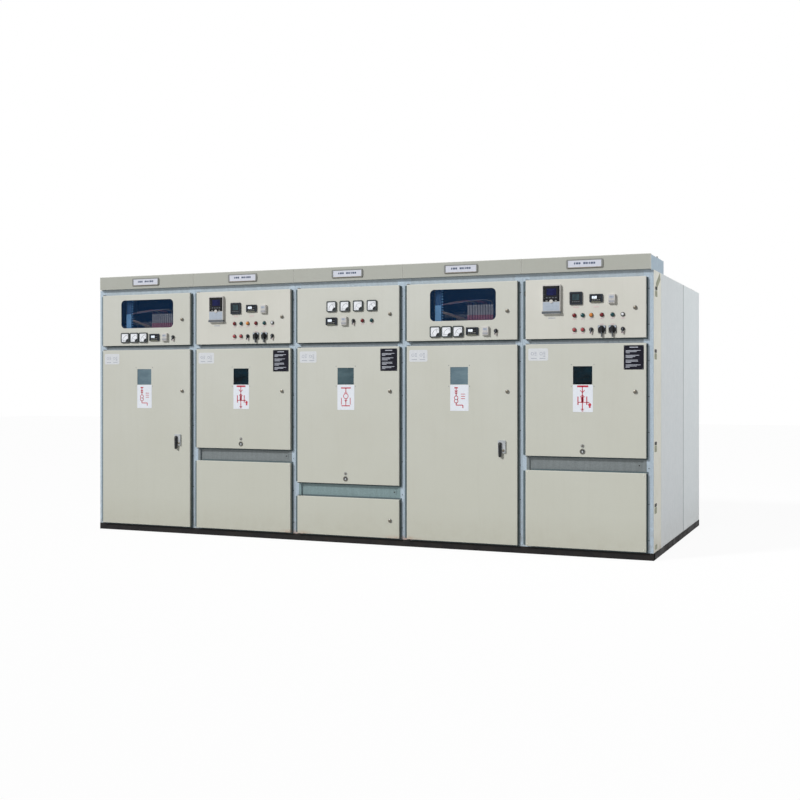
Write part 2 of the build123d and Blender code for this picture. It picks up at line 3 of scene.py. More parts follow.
import bpy
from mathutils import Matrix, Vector


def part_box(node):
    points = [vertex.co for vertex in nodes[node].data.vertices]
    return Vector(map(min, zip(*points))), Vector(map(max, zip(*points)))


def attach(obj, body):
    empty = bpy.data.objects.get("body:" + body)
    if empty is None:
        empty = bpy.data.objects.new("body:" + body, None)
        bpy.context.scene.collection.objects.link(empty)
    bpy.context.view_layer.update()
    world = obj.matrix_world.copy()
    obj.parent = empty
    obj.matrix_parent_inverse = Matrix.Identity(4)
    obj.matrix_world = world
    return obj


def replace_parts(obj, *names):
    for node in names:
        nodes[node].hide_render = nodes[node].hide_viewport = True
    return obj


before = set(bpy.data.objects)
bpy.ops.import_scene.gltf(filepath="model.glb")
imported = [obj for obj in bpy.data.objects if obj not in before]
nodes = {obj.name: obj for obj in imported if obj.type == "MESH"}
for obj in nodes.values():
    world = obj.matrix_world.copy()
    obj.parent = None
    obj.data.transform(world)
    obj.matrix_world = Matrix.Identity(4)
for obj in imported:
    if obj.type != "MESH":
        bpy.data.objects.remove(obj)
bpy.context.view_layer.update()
print("frame loaded:", len(nodes), "nodes")

# The row as the frame gives it, in metres
row = {"cubicles": 5, "seam": 0.001, "metering": (0, 3), "feeders": (1, 4), "tie": 2}
headLow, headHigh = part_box("header_panels")
pitch = (headHigh.x - headLow.x + row["seam"]) / row["cubicles"]
rowLeft = headLow.x - row["seam"] / 2
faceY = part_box("cable_covers")[0].y  # front of the doors and covers
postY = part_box("posts")[0].y  # front of the posts
numbers = range(1, row["cubicles"] + 1)
doors = [f"{kind}_door_{n}" for kind in ("instrument", "compartment") for n in numbers] + ["cable_door_3"]


def cubicleX(index, along):
    return rowLeft + pitch * index + along


# Places to build on: origin, across, up and outwards
def facing(origin, across, up, out):
    return tuple(Vector(v) for v in (origin, across, up, out))


def frontAt(x, y, z):
    return facing((x, y, z), (1, 0, 0), (0, 0, 1), (0, -1, 0))


def frontOf(solid, inset=0.0):
    return frontAt(solid["mid"].x, solid["low"].y + inset, solid["mid"].z)


# The side of the row that a solid is on, and a place on its outer face
def endOf(solid, y, z, sunk=0.0):
    side = 1 if solid["mid"].x > 0 else -1
    x = solid["high"].x if side > 0 else solid["low"].x
    return side, facing((x - side * sunk, y, z), (0, side, 0), (0, 0, 1), (side, 0, 0))


def moved(at, u, v):
    origin, across, up, out = at
    return origin + across * u + up * v, across, up, out


def arc(cu, cv, radius, start, end, steps):
    turns = [math.radians(start + (end - start) * k / steps) for k in range(steps + 1)]
    return [(cu + radius * math.cos(t), cv + radius * math.sin(t)) for t in turns]


def roundedOutline(u, v, width, height, radius, steps=4):
    a, b = width / 2 - radius, height / 2 - radius
    turns = ((a, -b, -90), (a, b, 0), (-a, b, 90), (-a, -b, 180))
    return [p for du, dv, turn in turns for p in arc(u + du, v + dv, radius, turn, turn + 90, steps)]


screwHead = {"wall": 0.5, "crown": 0.6}  # shares of the height and of the radius


# One mesh that collects small shapes, each with its own finish
class Piece:
    def __init__(self, name, body, slotName):
        self.name, self.body, self.slotName = name, body, slotName
        self.verts, self.faces, self.marks, self.soft, self.finishes = [], [], [], [], []

    def take(self, verts, faces, finish, smooth=False):
        if finish not in self.finishes:
            self.finishes.append(finish)
        start = len(self.verts)
        self.verts += verts
        self.faces += [[start + i for i in face] for face in faces]
        self.marks += [self.finishes.index(finish)] * len(faces)
        self.soft += [smooth] * len(faces)

    # walls between loops of as many points, and a face at each end
    def skin(self, verts, count, finish, smooth=False):
        faces = []
        for start in range(0, len(verts) - count, count):
            for i in range(count):
                j = (i + 1) % count
                faces.append([start + i, start + j, start + count + j, start + count + i])
        faces += [list(range(len(verts) - count, len(verts))), list(range(count - 1, -1, -1))]
        self.take(verts, faces, finish, smooth)

    # outlines run anticlockwise as seen from outside, each with its distance outwards
    def loft(self, at, loops, finish):
        origin, across, up, out = at
        verts = [origin + across * u + up * v + out * w for outline, w in loops for u, v in outline]
        self.skin(verts, len(loops[0][0]), finish)

    def prism(self, at, outline, back, front, finish):
        self.loft(at, [(outline, back), (outline, front)], finish)

    def slab(self, at, u, v, width, height, back, front, finish):
        a, b = width / 2, height / 2
        self.prism(at, [(u - a, v - b), (u + a, v - b), (u + a, v + b), (u - a, v + b)], back, front, finish)

    def rounded(self, at, u, v, width, height, radius, back, front, finish, steps=4):
        self.prism(at, roundedOutline(u, v, width, height, radius, steps), back, front, finish)

    # profile holds (radius, distance outwards) from the back to the front
    def lathe(self, at, u, v, profile, sides, finish, smooth=True):
        origin, across, up, out = at
        middle = origin + across * u + up * v
        verts = []
        for radius, reach in profile:
            for turn in (2 * math.pi * k / sides for k in range(sides)):
                verts.append(middle + (across * math.cos(turn) + up * math.sin(turn)) * radius + out * reach)
        self.skin(verts, sides, finish, smooth)

    def facet(self, at, u, v, profile, sides, finish):
        self.lathe(at, u, v, profile, sides, finish, False)

    def disc(self, at, u, v, radius, sides, back, front, finish):
        self.facet(at, u, v, [(radius, back), (radius, front)], sides, finish)

    def screw(self, at, u, v, radius, sides, height, finish):
        profile = [(radius, 0), (radius, height * screwHead["wall"]), (radius * screwHead["crown"], height)]
        self.lathe(at, u, v, profile, sides, finish)

    def cornerScrews(self, at, halfWidth, halfHeight, radius, sides, height, finish):
        for u in (-halfWidth, halfWidth):
            for v in (-halfHeight, halfHeight):
                self.screw(at, u, v, radius, sides, height, finish)

    # a flat ring of short straight pieces
    def ring(self, at, u, v, outer, inner, count, front, finish):
        step = 360 / count
        for k in range(count):
            a, b = step * k, step * (k + 1)
            self.prism(at, arc(u, v, outer, a, b, 1) + arc(u, v, inner, b, a, 1), 0, front, finish)

    def bar(self, at, start, end, width, back, front, finish):
        (u0, v0), (u1, v1) = start, end
        length = math.hypot(u1 - u0, v1 - v0)
        su, sv = -(v1 - v0) / length * width / 2, (u1 - u0) / length * width / 2
        corners = [(u0 - su, v0 - sv), (u1 - su, v1 - sv), (u1 + su, v1 + sv), (u0 + su, v0 + sv)]
        self.prism(at, corners, back, front, finish)

    # rows of shape, finish, place and sizes, then the count and the steps where it repeats
    def draw(self, at, rows):
        for shape, finish, (u, v), sizes, *repeat in rows:
            count, du, dv = repeat or (1, 0, 0)
            for k in range(count):
                getattr(self, shape)(at, u + du * k, v + dv * k, *sizes, finish)

    # plain numbers for dials
    def figures(self, at, words, u, v, size, lift, finish):
        origin, across, up, out = at
        curve = bpy.data.curves.new(self.name + "_figures", "FONT")
        curve.body, curve.size = words, size
        curve.align_x, curve.align_y = "CENTER", "CENTER"
        holder = bpy.data.objects.new(curve.name, curve)
        flat = bpy.data.meshes.new_from_object(holder)
        verts = [origin + across * (u + p.co.x) + up * (v + p.co.y) + out * lift for p in flat.vertices]
        self.take(verts, [list(p.vertices) for p in flat.polygons], finish)
        bpy.data.objects.remove(holder)
        bpy.data.curves.remove(curve)
        bpy.data.meshes.remove(flat)

    def done(self):
        mesh = bpy.data.meshes.new(self.name)
        mesh.from_pydata([tuple(v) for v in self.verts], [], self.faces)
        for finish in self.finishes:
            mesh.materials.append(finishes[finish])
        mesh.polygons.foreach_set("material_index", self.marks)
        mesh.polygons.foreach_set("use_smooth", self.soft)
        mesh.update()
        obj = bpy.data.objects.new(self.name, mesh)
        bpy.context.scene.collection.objects.link(obj)
        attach(obj, self.body)
        return obj


def boxOf(points):
    return [Vector([pick(p[k] for p in points) for k in range(3)]) for pick in (min, max)]


# The solids of a node, each with its corners and its faces, from left to right
def solidsOf(name):
    mesh = nodes[name].data
    keys = [tuple(round(c, 5) for c in v.co) for v in mesh.vertices]
    owner = {key: key for key in keys}

    def rootOf(key):
        while owner[key] != key:
            owner[key] = owner[owner[key]]
            key = owner[key]
        return key

    for face in mesh.polygons:
        for i in face.vertices[1:]:
            owner[rootOf(keys[i])] = rootOf(keys[face.vertices[0]])
    groups = {}
    for face in mesh.polygons:
        groups.setdefault(rootOf(keys[face.vertices[0]]), []).append(face.index)
    solids = []
    for faces in groups.values():
        low, high = boxOf([mesh.vertices[i].co for n in faces for i in mesh.polygons[n].vertices])
        solids.append({"low": low, "high": high, "mid": (low + high) / 2, "size": high - low, "faces": faces})
    return sorted(solids, key=lambda s: (round(s["mid"].x, 3), s["mid"].z))


# Finishes: short helpers for the shader trees
def colour(tone):
    parts = [c / 255 for c in tone]
    return tuple(c / 12.92 if c <= 0.04045 else ((c + 0.055) / 1.055) ** 2.4 for c in parts) + (1.0,)


def newFinish(name, **fixed):
    mat = bpy.data.materials.new(name)
    mat.use_nodes = True
    shader = mat.node_tree.nodes["Principled BSDF"]
    for socket, value in fixed.items():
        shader.inputs[socket.replace("_", " ")].default_value = value
    return mat, mat.node_tree, shader


def feed(tree, shader, **links):
    for socket, value in links.items():
        tree.links.new(value, shader.inputs[socket.replace("_", " ")])


def put(tree, kind, inputs, **settings):
    made = tree.nodes.new("ShaderNode" + kind)
    for key, value in settings.items():
        setattr(made, key, value)
    for key, value in inputs.items():
        if isinstance(value, bpy.types.NodeSocket):
            tree.links.new(value, made.inputs[key])
        else:
            made.inputs[key].default_value = value
    return made


def spot(tree, stretch=(1, 1, 1)):
    coords = put(tree, "TexCoord", {}).outputs["Object"]
    if stretch == (1, 1, 1):
        return coords
    return put(tree, "Mapping", {"Vector": coords, "Scale": stretch}).outputs["Vector"]


def along(tree, axis):
    return put(tree, "SeparateXYZ", {"Vector": spot(tree)}).outputs[axis]


def noise(tree, scale, detail=4.0, roughness=0.55, stretch=(1, 1, 1)):
    inputs = {"Vector": spot(tree, stretch), "Scale": scale, "Detail": detail, "Roughness": roughness}
    return put(tree, "TexNoise", inputs).outputs["Fac"]


def span(tree, value, low, high, toLow=0.0, toHigh=1.0):
    inputs = {"Value": value, "From Min": low, "From Max": high, "To Min": toLow, "To Max": toHigh}
    return put(tree, "MapRange", inputs).outputs["Result"]


def reckon(tree, how, first, second=0.0):
    return put(tree, "Math", {0: first, 1: second}, operation=how).outputs[0]


def times(tree, first, second):
    return reckon(tree, "MULTIPLY", first, second)


def blend(tree, share, first, second):
    return put(tree, "Mix", {0: share, 6: first, 7: second}, data_type="RGBA").outputs[2]


# One colour over another, each by its own share
def coats(tree, body, *layers):
    for share, tone in layers:
        body = blend(tree, share, body, colour(tone))
    return body


def relief(tree, shader, height, strength, distance):
    inputs = {"Height": height, "Strength": strength, "Distance": distance}
    feed(tree, shader, Normal=put(tree, "Bump", inputs).outputs["Normal"])


# How near a folded edge is, from 0 to 1
def edgeOf(tree, radius):
    eased = put(tree, "Bevel", {"Radius": radius}, samples=4).outputs["Normal"]
    plain = put(tree, "NewGeometry", {}).outputs["Normal"]
    match = put(tree, "VectorMath", {0: eased, 1: plain}, operation="DOT_PRODUCT").outputs["Value"]
    return span(tree, match, 0.995, 0.80)


# Faint rust just above the base, beside the posts of the middle cubicle
footRust = {
    "tone": (170, 128, 104), "from": 0.096, "full": 0.066, "wide": 0.20, "core": 0.03, "share": (0.2, 0.75),
}


def rusted(tree, body):
    off = reckon(tree, "SUBTRACT", reckon(tree, "ABSOLUTE", along(tree, "X")), pitch / 2)
    near = span(tree, reckon(tree, "ABSOLUTE", off), footRust["wide"], footRust["core"])
    low = span(tree, along(tree, "Z"), footRust["from"], footRust["full"])
    patch = span(tree, noise(tree, 30.0, 6.0, 0.6), 0.36, 0.62, *footRust["share"])
    return coats(tree, body, (times(tree, times(tree, low, patch), near), footRust["tone"]))


# Sprayed paint: mottled, with painted light that makes it paler high up, a painted highlight along the folded
# edges, dust low down and a fine orange peel
def paintFinish(name, high, low, shade, look):
    mat, tree, shader = newFinish(name)
    # paler high up: painted light falling from above
    rise = span(tree, along(tree, "Z"), look["lowAt"], look["highAt"])
    cloud = span(tree, noise(tree, 1.7, 5.0), 0.35, 0.7, 0.0, look["mottle"])
    runs = span(tree, noise(tree, 4.0, 6.0, 0.6, (9, 9, 0.5)), 0.5, 0.8, 0.0, look["streak"])
    foot = span(tree, along(tree, "Z"), look["dustAt"], 0.03)
    grime = times(tree, foot, span(tree, noise(tree, 14.0, 8.0, 0.65), 0.38, 0.7, 0.1, look["grime"]))
    # pale folded edges: a painted highlight where the edges catch the light
    worn = times(tree, edgeOf(tree, look["edge"]), look["edgeHighlightShare"])
    layers = (cloud, shade), (runs, look["dust"]), (grime, look["dust"]), (worn, look["edgeHighlightTone"])
    body = coats(tree, blend(tree, rise, colour(low), colour(high)), *layers)
    wear = span(tree, noise(tree, 22.0, 6.0), 0.3, 0.7, look["gloss"] - 0.06, look["gloss"] + 0.08)
    feed(tree, shader, Base_Color=rusted(tree, body), Roughness=wear)
    relief(tree, shader, noise(tree, 520.0, 2.0), look["peel"], 0.0006)
    return mat


# the colour high up and low down, whose blend is painted light from above, and the colour in the mottle
paints = {
    "doorPaint": ((205, 206, 198), (191, 192, 180), (188, 188, 175)),
    "panelPaint": ((213, 212, 204), (196, 197, 186), (194, 194, 182)),
    "headerPaint": ((173, 175, 167), (168, 169, 159), (165, 165, 153)),
    "cheekPaint": ((214, 214, 203), (204, 203, 190), (188, 186, 170)),
    "endPaint": ((199, 206, 209), (193, 199, 202), (189, 195, 198)),
    "endRearPaint": ((206, 214, 217), (200, 207, 210), (196, 203, 206)),
    "rearPaint": ((203, 206, 203), (190, 193, 189), (184, 187, 182)),
    "trunkPaint": ((142, 166, 183), (128, 150, 168), (120, 141, 158)),
    # dark navy for the back of the instrument compartments: painted shade
    "backShadePaint": ((48, 58, 72), (44, 54, 68), (40, 49, 62)),
    "truckPaint": ((158, 166, 170), (138, 146, 151), (128, 136, 141)),
}
paintCommon = {
    "lowAt": 0.1, "highAt": 2.1, "mottle": 0.35, "streak": 0.04, "dust": (150, 141, 120), "dustAt": 0.32,
    "grime": 0.24, "gloss": 0.42, "peel": 0.10, "edge": 0.006, "edgeHighlightShare": 0.6, "edgeHighlightTone": (232, 233, 226),
}
paintExtras = {
    "cheekPaint": {"dust": (122, 98, 62), "dustAt": 0.20, "grime": 0.85},  # rusted at the foot
    "backShadePaint": {"edgeHighlightShare": 0.2},
}
finishes = {}
for name, tones in paints.items():
    finishes[name] = paintFinish(name, *tones, {**paintCommon, **paintExtras.get(name, {})})

# Galvanised sheet: zinc spangle, long drawn marks and dirt at the foot
zincLook = {"metal": 0.3, "spangle": 210.0, "drawn": 0.4, "dirt": (118, 104, 84), "dirty": 0.55}


def zincFinish(name, dark, pale, streak):
    mat, tree, shader = newFinish(name, Metallic=zincLook["metal"])
    cells = put(tree, "TexVoronoi", {"Vector": spot(tree), "Scale": zincLook["spangle"]}).outputs["Color"]
    grey = put(tree, "RGBToBW", {"Color": cells}).outputs["Val"]
    drawn = span(tree, noise(tree, 3.0, 6.0, 0.6, (14, 14, 0.6)), 0.42, 0.72, 0.0, zincLook["drawn"])
    foot = times(tree, span(tree, along(tree, "Z"), 0.4, 0.04), span(tree, noise(tree, 18.0, 7.0), 0.4, 0.7))
    layers = (drawn, streak), (times(tree, foot, zincLook["dirty"]), zincLook["dirt"])
    body = coats(tree, blend(tree, span(tree, grey, 0.1, 0.9), colour(dark), colour(pale)), *layers)
    feed(tree, shader, Base_Color=rusted(tree, body), Roughness=span(tree, grey, 0.2, 0.8, 0.34, 0.52))
    relief(tree, shader, noise(tree, 90.0, 4.0), 0.05, 0.001)
    return mat


# dark and pale spangle, and the drawn marks
zincs = {
    "postZinc": ((158, 173, 185), (178, 193, 205), (140, 153, 163)),
    "railZinc": ((150, 162, 170), (170, 183, 192), (134, 145, 152)),
    # a darker copy of the rail zinc for the middle rails: painted shade under the doors' overhang
    "midRailShadedZinc": ((118, 127, 134), (136, 146, 153), (106, 114, 120)),
    "crossbarZinc": ((108, 115, 117), (124, 131, 132), (96, 102, 103)),
    "crossbarTealZinc": ((112, 132, 134), (128, 149, 151), (100, 118, 120)),
    "wallZinc": ((128, 136, 141), (148, 157, 162), (110, 118, 122)),
}
finishes.update({name: zincFinish(name, *tones) for name, tones in zincs.items()})

# Black base channels: chalky paint with floor dust and specks of rust
baseLook = {"dusty": 0.45, "rust": (84, 52, 34), "rusty": 0.5}


def baseFinish(name, paint, dust, shine):
    mat, tree, shader = newFinish(name, Specular_IOR_Level=shine)
    dusty = span(tree, noise(tree, 9.0, 8.0, 0.65), 0.42, 0.75, 0.0, baseLook["dusty"])
    rust = span(tree, noise(tree, 26.0, 9.0, 0.7), 0.6, 0.72, 0.0, baseLook["rusty"])
    body = coats(tree, blend(tree, dusty, colour(paint), colour(dust)), (rust, baseLook["rust"]))
    feed(tree, shader, Base_Color=body, Roughness=span(tree, dusty, 0.0, 0.5, 0.5, 0.85))
    relief(tree, shader, noise(tree, 140.0, 5.0), 0.2, 0.001)
    return mat


# paint, dust and shine
bases = {
    "basePaint": ((26, 25, 26), (60, 56, 51), 0.15),
    # a darker, duller copy for the ends of the channels: painted shade
    "baseEndShadePaint": ((13, 13, 14), (30, 28, 26), 0.06),
}
finishes.update({name: baseFinish(name, *look) for name, look in bases.items()})


# Moulded plastic, rubber and print: faint flow marks and a fine grain
def plasticFinish(name, base, fleck, gloss, grain=0.12, coat=0.0, shine=0.5):
    mat, tree, shader = newFinish(name, Coat_Weight=coat, Specular_IOR_Level=shine)
    body = blend(tree, span(tree, noise(tree, 60.0, 5.0), 0.3, 0.7), colour(base), colour(fleck))
    wear = span(tree, noise(tree, 180.0, 3.0), 0.3, 0.7, gloss - 0.05, gloss + 0.07)
    feed(tree, shader, Base_Color=body, Roughness=wear)
    relief(tree, shader, noise(tree, 1400.0, 2.0), grain, 0.0003)
    return mat


# base, fleck and gloss, then grain, coat and shine where they differ
plastics = {
    "blackPlastic": ((24, 26, 29), (32, 34, 37), 0.42, 0.12, 0.0, 0.25),
    "blackGlass": ((10, 12, 18), (15, 18, 25), 0.16, 0.02, 0.2, 0.2),
    "relayBlack": ((11, 12, 16), (17, 18, 22), 0.35, 0.12, 0.0, 0.12),
    "palePlastic": ((206, 204, 200), (196, 194, 190), 0.45),
    "greyPlastic": ((136, 138, 134), (124, 126, 123), 0.5),
    "bluePalePlastic": ((176, 186, 198), (166, 177, 190), 0.4),
    "footPlastic": ((86, 92, 98), (76, 82, 88), 0.45),
    "dialCard": ((240, 243, 248), (232, 236, 242), 0.5, 0.03, 0.4),
    "plateWhite": ((232, 236, 243), (222, 227, 236), 0.4, 0.03),
    "nameWhite": ((214, 217, 228), (205, 209, 221), 0.4, 0.03),
    "nameInk": ((78, 90, 116), (66, 78, 104), 0.6, 0.02),
    "ledgeBrown": ((138, 128, 112), (126, 117, 103), 0.5),
    "meterFrame": ((38, 47, 49), (46, 56, 57), 0.4),
    "displayFrame": ((24, 31, 40), (32, 40, 50), 0.4, 0.12, 0.0, 0.25),
    "displayStrip": ((98, 100, 80), (88, 90, 72), 0.5),
    "controllerFoot": ((176, 176, 176), (166, 166, 167), 0.5),
    "stickerWhite": ((218, 221, 224), (209, 212, 216), 0.35, 0.03),
    "markGrey": ((158, 164, 176), (146, 152, 166), 0.6, 0.02),
    "markInk": ((52, 60, 84), (44, 52, 74), 0.6, 0.02),
    "markRed": ((196, 44, 66), (178, 36, 58), 0.55, 0.02),
    "markPale": ((196, 200, 210), (178, 182, 194), 0.55, 0.02),
    "legendPlate": ((214, 196, 192), (204, 188, 186), 0.5, 0.04),
    "rulePlate": ((20, 20, 30), (27, 27, 38), 0.4, 0.05, 0.0, 0.12),
    "lensRed": ((100, 10, 20), (116, 20, 28), 0.28, 0.05, 0.06, 0.3),
    "lensGreen": ((2, 58, 64), (8, 72, 76), 0.28, 0.05, 0.06, 0.3),
    "lensAmber": ((196, 118, 48), (210, 138, 70), 0.28, 0.05, 0.06, 0.3),
    "lensWhite": ((228, 230, 234), (214, 217, 224), 0.18, 0.05, 0.7),
    "buttonRed": ((160, 68, 72), (148, 60, 64), 0.45, 0.12, 0.0, 0.3),
    "buttonGreen": ((38, 110, 76), (30, 98, 66), 0.35),
    "ductBlue": ((138, 196, 246), (124, 182, 236), 0.45),
    # a darker copy of the duct blue: painted shade on the duct's upper part
    "ductPaintedShade": ((34, 88, 136), (28, 78, 124), 0.45),
    "terminalGrey": ((146, 145, 148), (132, 131, 135), 0.5),
    "terminalPink": ((160, 96, 108), (146, 86, 98), 0.5),
    "wireBeige": ((124, 116, 90), (112, 104, 80), 0.45),
    "wireRed": ((108, 46, 54), (96, 40, 48), 0.45),
    "wireBlue": ((44, 68, 116), (38, 60, 106), 0.45),
    "seamGrey": ((132, 138, 142), (122, 128, 132), 0.6),
    # teal-grey rubber that also carries the painted shadow gap beside and below the doors
    "gasketRubberShade": ((84, 98, 103), (94, 108, 112), 0.75, 0.4, 0.0, 0.2),
    "shadowBlack": ((8, 9, 10), (12, 13, 14), 0.7),
}
finishes.update({name: plasticFinish(name, *look) for name, look in plastics.items()})


# Plated steel fittings: brushed, with fingermarks
def platedFinish(name, base, worn, gloss, metal):
    mat, tree, shader = newFinish(name, Metallic=metal)
    rubbed = span(tree, noise(tree, 35.0, 7.0, 0.65), 0.35, 0.7)
    body = blend(tree, rubbed, colour(base), colour(worn))
    feed(tree, shader, Base_Color=body, Roughness=span(tree, rubbed, 0.0, 1.0, gloss, gloss + 0.2))
    relief(tree, shader, noise(tree, 60.0, 4.0, 0.6, (12, 12, 1)), 0.06, 0.0004)
    return mat


# base, worn, gloss and metal
platings = {
    "lockSteel": ((122, 116, 104), (96, 91, 82), 0.32, 0.6),
    "fittingSteel": ((186, 190, 192), (150, 154, 157), 0.28, 0.7),
    "screwSteel": ((156, 160, 160), (116, 119, 119), 0.35, 0.7),
    "darkSteel": ((52, 54, 55), (78, 78, 76), 0.4, 0.5),
    "strapSteel": ((136, 140, 116), (108, 111, 92), 0.45, 0.4),
    "lugSteel": ((92, 96, 98), (120, 112, 98), 0.5, 0.5),
}
finishes.update({name: platedFinish(name, *look) for name, look in platings.items()})


# Tinted panes: part clear on both faces, with a smear of dust
def paneFinish(name, tint, dust, cover, most, shine):
    mat, tree, shader = newFinish(name, Roughness=0.05, Specular_IOR_Level=shine)
    smear = span(tree, noise(tree, 5.0, 6.0, 0.6, (1, 1, 2.5)), 0.4, 0.75, 0.0, most)
    body = blend(tree, smear, colour(tint), colour(dust))
    feed(tree, shader, Base_Color=body, Alpha=span(tree, smear, 0.0, 1.0, cover, 1.0))
    return mat


# tint, dust, cover, most smear and shine
panes = {
    "largePane": ((22, 58, 98), (46, 72, 104), 0.20, 0.10, 0.12),
    "paneDark": ((8, 20, 26), (18, 66, 86), 0.78, 0.55, 0.12),
    "paneMid": ((62, 86, 94), (104, 130, 138), 0.8, 0.5, 0.3),
    "panePale": ((100, 124, 136), (140, 164, 172), 0.85, 0.5, 0.3),
}
finishes.update({name: paneFinish(name, *look) for name, look in panes.items()})


# Lit screens
def screenFinish(name, base, glow, light, coat, shine):
    fixed = {"Emission_Strength": light, "Coat_Weight": coat, "Specular_IOR_Level": shine}
    mat, tree, shader = newFinish(name, Roughness=0.2, **fixed)
    body = blend(tree, span(tree, noise(tree, 40.0, 3.0), 0.35, 0.65), colour(base), colour(glow))
    feed(tree, shader, Base_Color=body, Emission_Color=body)
    return mat


# base, glow, light, coat and shine
screens = {
    "screenWhite": ((214, 226, 240), (236, 243, 250), 0.55, 0.5, 0.5),
    "screenBlue": ((9, 12, 50), (14, 18, 66), 0.10, 0.05, 0.15),
    "screenRow": ((28, 36, 84), (38, 48, 100), 0.10, 0.05, 0.15),
    "screenGreen": ((42, 62, 68), (52, 74, 80), 0.08, 0.1, 0.2),
}
finishes.update({name: screenFinish(name, *look) for name, look in screens.items()})
print("finishes made:", len(finishes))

# Every node takes its finish, whole
wholeNodes = {
    "basePaint": ["base_rails", "base_cross_members"],
    "postZinc": ["posts"],
    "railZinc": ["cross_rails"],
    "crossbarZinc": ["crossbars"],
    "wallZinc": ["floor_plates", "partition_walls", "shelf_plates", "barrier_plates", "relief_flaps"],
    "truckPaint": ["trucks"],
    "terminalGrey": ["terminal_rows"],
    "headerPaint": ["header_panels"],
    "greyPlastic": ["nameplate_holders"],
    "trunkPaint": ["wiring_trunks"],
    "endPaint": ["roof_plates", "end_panels"],
    "lugSteel": ["lifting_lugs"],
    "cheekPaint": ["end_cheeks"],
    "rearPaint": ["rear_covers"],
    "doorPaint": ["cable_covers"] + doors,
    "darkSteel": ["hinge_tongues", "indicator_lamps", "push_buttons"],
    "largePane": ["instrument_windows"],
    "panePale": ["view_window_1", "view_window_4"],
    "paneDark": ["view_window_2", "view_window_5"],
    "paneMid": ["view_window_3"],
    "meterFrame": ["panel_meters"],
    "displayFrame": ["digital_meters", "power_meters"],
    "palePlastic": ["climate_controllers", "protection_relays"],
    "blackPlastic": ["rotary_knobs", "selector_switches", "handle_lever_1", "handle_lever_4"],
    "fittingSteel": ["handle_plate_1", "handle_plate_4"],
}
for finish, names in wholeNodes.items():
    for name in names:
        mesh = nodes[name].data
        mesh.materials.clear()
        mesh.materials.append(finishes[finish])
        mesh.polygons.foreach_set("material_index", [0] * len(mesh.polygons))


# Faces of a node that pass the test take another finish
def repaint(name, finish, test, among=None):
    mesh = nodes[name].data
    faces = [n for n in among or range(len(mesh.polygons)) if test(mesh.polygons[n])]
    if finishes[finish] not in list(mesh.materials):
        mesh.materials.append(finishes[finish])
    for n in faces:
        mesh.polygons[n].material_index = list(mesh.materials).index(finishes[finish])


def repaintSolids(name, finish, test):
    for solid in solidsOf(name):
        if test(solid):
            repaint(name, finish, lambda face: True, solid["faces"])


# A selector is a square with a lever below it
def selectorSpan(solid):
    return solid["high"].z - solid["size"].x / 2, solid["high"].z - solid["size"].x  # its middle and its foot


def inTie(solid):
    return abs(solid["mid"].x) < pitch / 2


repaints = {"proud": 0.0005, "square": 0.9, "midRails": (1.5, 1.8), "backOver": 0.05, "leverFrom": 0.002}
for name in doors:
    repaint(name, "lockSteel", lambda face: face.center.y < faceY - repaints["proud"])
for index in row["feeders"]:
    repaint(f"instrument_door_{index + 1}", "panelPaint", lambda face: True)
# faces at the ends of the base channels take the darker copy: painted shade
for name in ("base_rails", "base_cross_members"):
    repaint(name, "baseEndShadePaint", lambda face: abs(face.normal.x) > repaints["square"])
repaint("end_cheeks", "postZinc", lambda face: face.normal.y < -repaints["square"])
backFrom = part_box("compartment_door_1")[1].z - repaints["backOver"]
railLow, railHigh = repaints["midRails"]
repaintSolids("end_panels", "endRearPaint", lambda solid: solid["mid"].y > 0)
# back plates of the instrument compartments: dark navy as painted shade inside
repaintSolids("barrier_plates", "backShadePaint", lambda solid: solid["low"].z > backFrom)
# middle rails between the upper and lower doors: painted shade under the doors' overhang
repaintSolids(
    "cross_rails", "midRailShadedZinc", lambda solid: solid["mid"].y < 0 and railLow < solid["mid"].z < railHigh
)
repaintSolids("crossbars", "crossbarTealZinc", inTie)
for solid in solidsOf("selector_switches"):
    leverTop = selectorSpan(solid)[1] + repaints["leverFrom"]
    repaint("selector_switches", "footPlastic", lambda face: face.center.z < leverTop, solid["faces"])
print("nodes finished:", sum(len(names) for names in wholeNodes.values()))

# Nameplates in their holders, with plain bars for words
nameplate = {
    "size": (0.264, 0.053, 0.004), "pocket": 0.0025, "thick": 0.0012, "ink": 0.0003,
    "bars": (0.010, 0.018, 0.014, 0, 0.018, 0.014, 0.010, 0.018, 0.014), "barFrom": (-0.076, 0.004),
    "barStep": 0.019, "barTall": 0.015,
    "trim": [
        ("slab", "ledgeBrown", (0, -0.0285), (0.264, 0.005, 0, 0.0055)),
        ("slab", "greyPlastic", (-0.136, 0), (0.012, 0.05, 0, 0.0042), 2, 0.272, 0),
        ("screw", "screwSteel", (-0.136, 0), (0.0032, 10, 0.0052), 2, 0.272, 0),
    ],
}
plate = Piece("nameplate_inserts", "frame", "plate_frame")
for solid in solidsOf("nameplate_holders"):
    at, top, (u, v) = frontOf(solid, nameplate["pocket"]), nameplate["thick"], nameplate["barFrom"]
    plate.rounded(at, 0, 0, *nameplate["size"], 0, top, "nameWhite")
    for k, wide in enumerate(nameplate["bars"]):
        if wide:
            reach = nameplate["barTall"], top, top + nameplate["ink"]
            plate.slab(at, u + k * nameplate["barStep"], v, wide, *reach, "nameInk")
    plate.draw(at, nameplate["trim"])
plate.done()

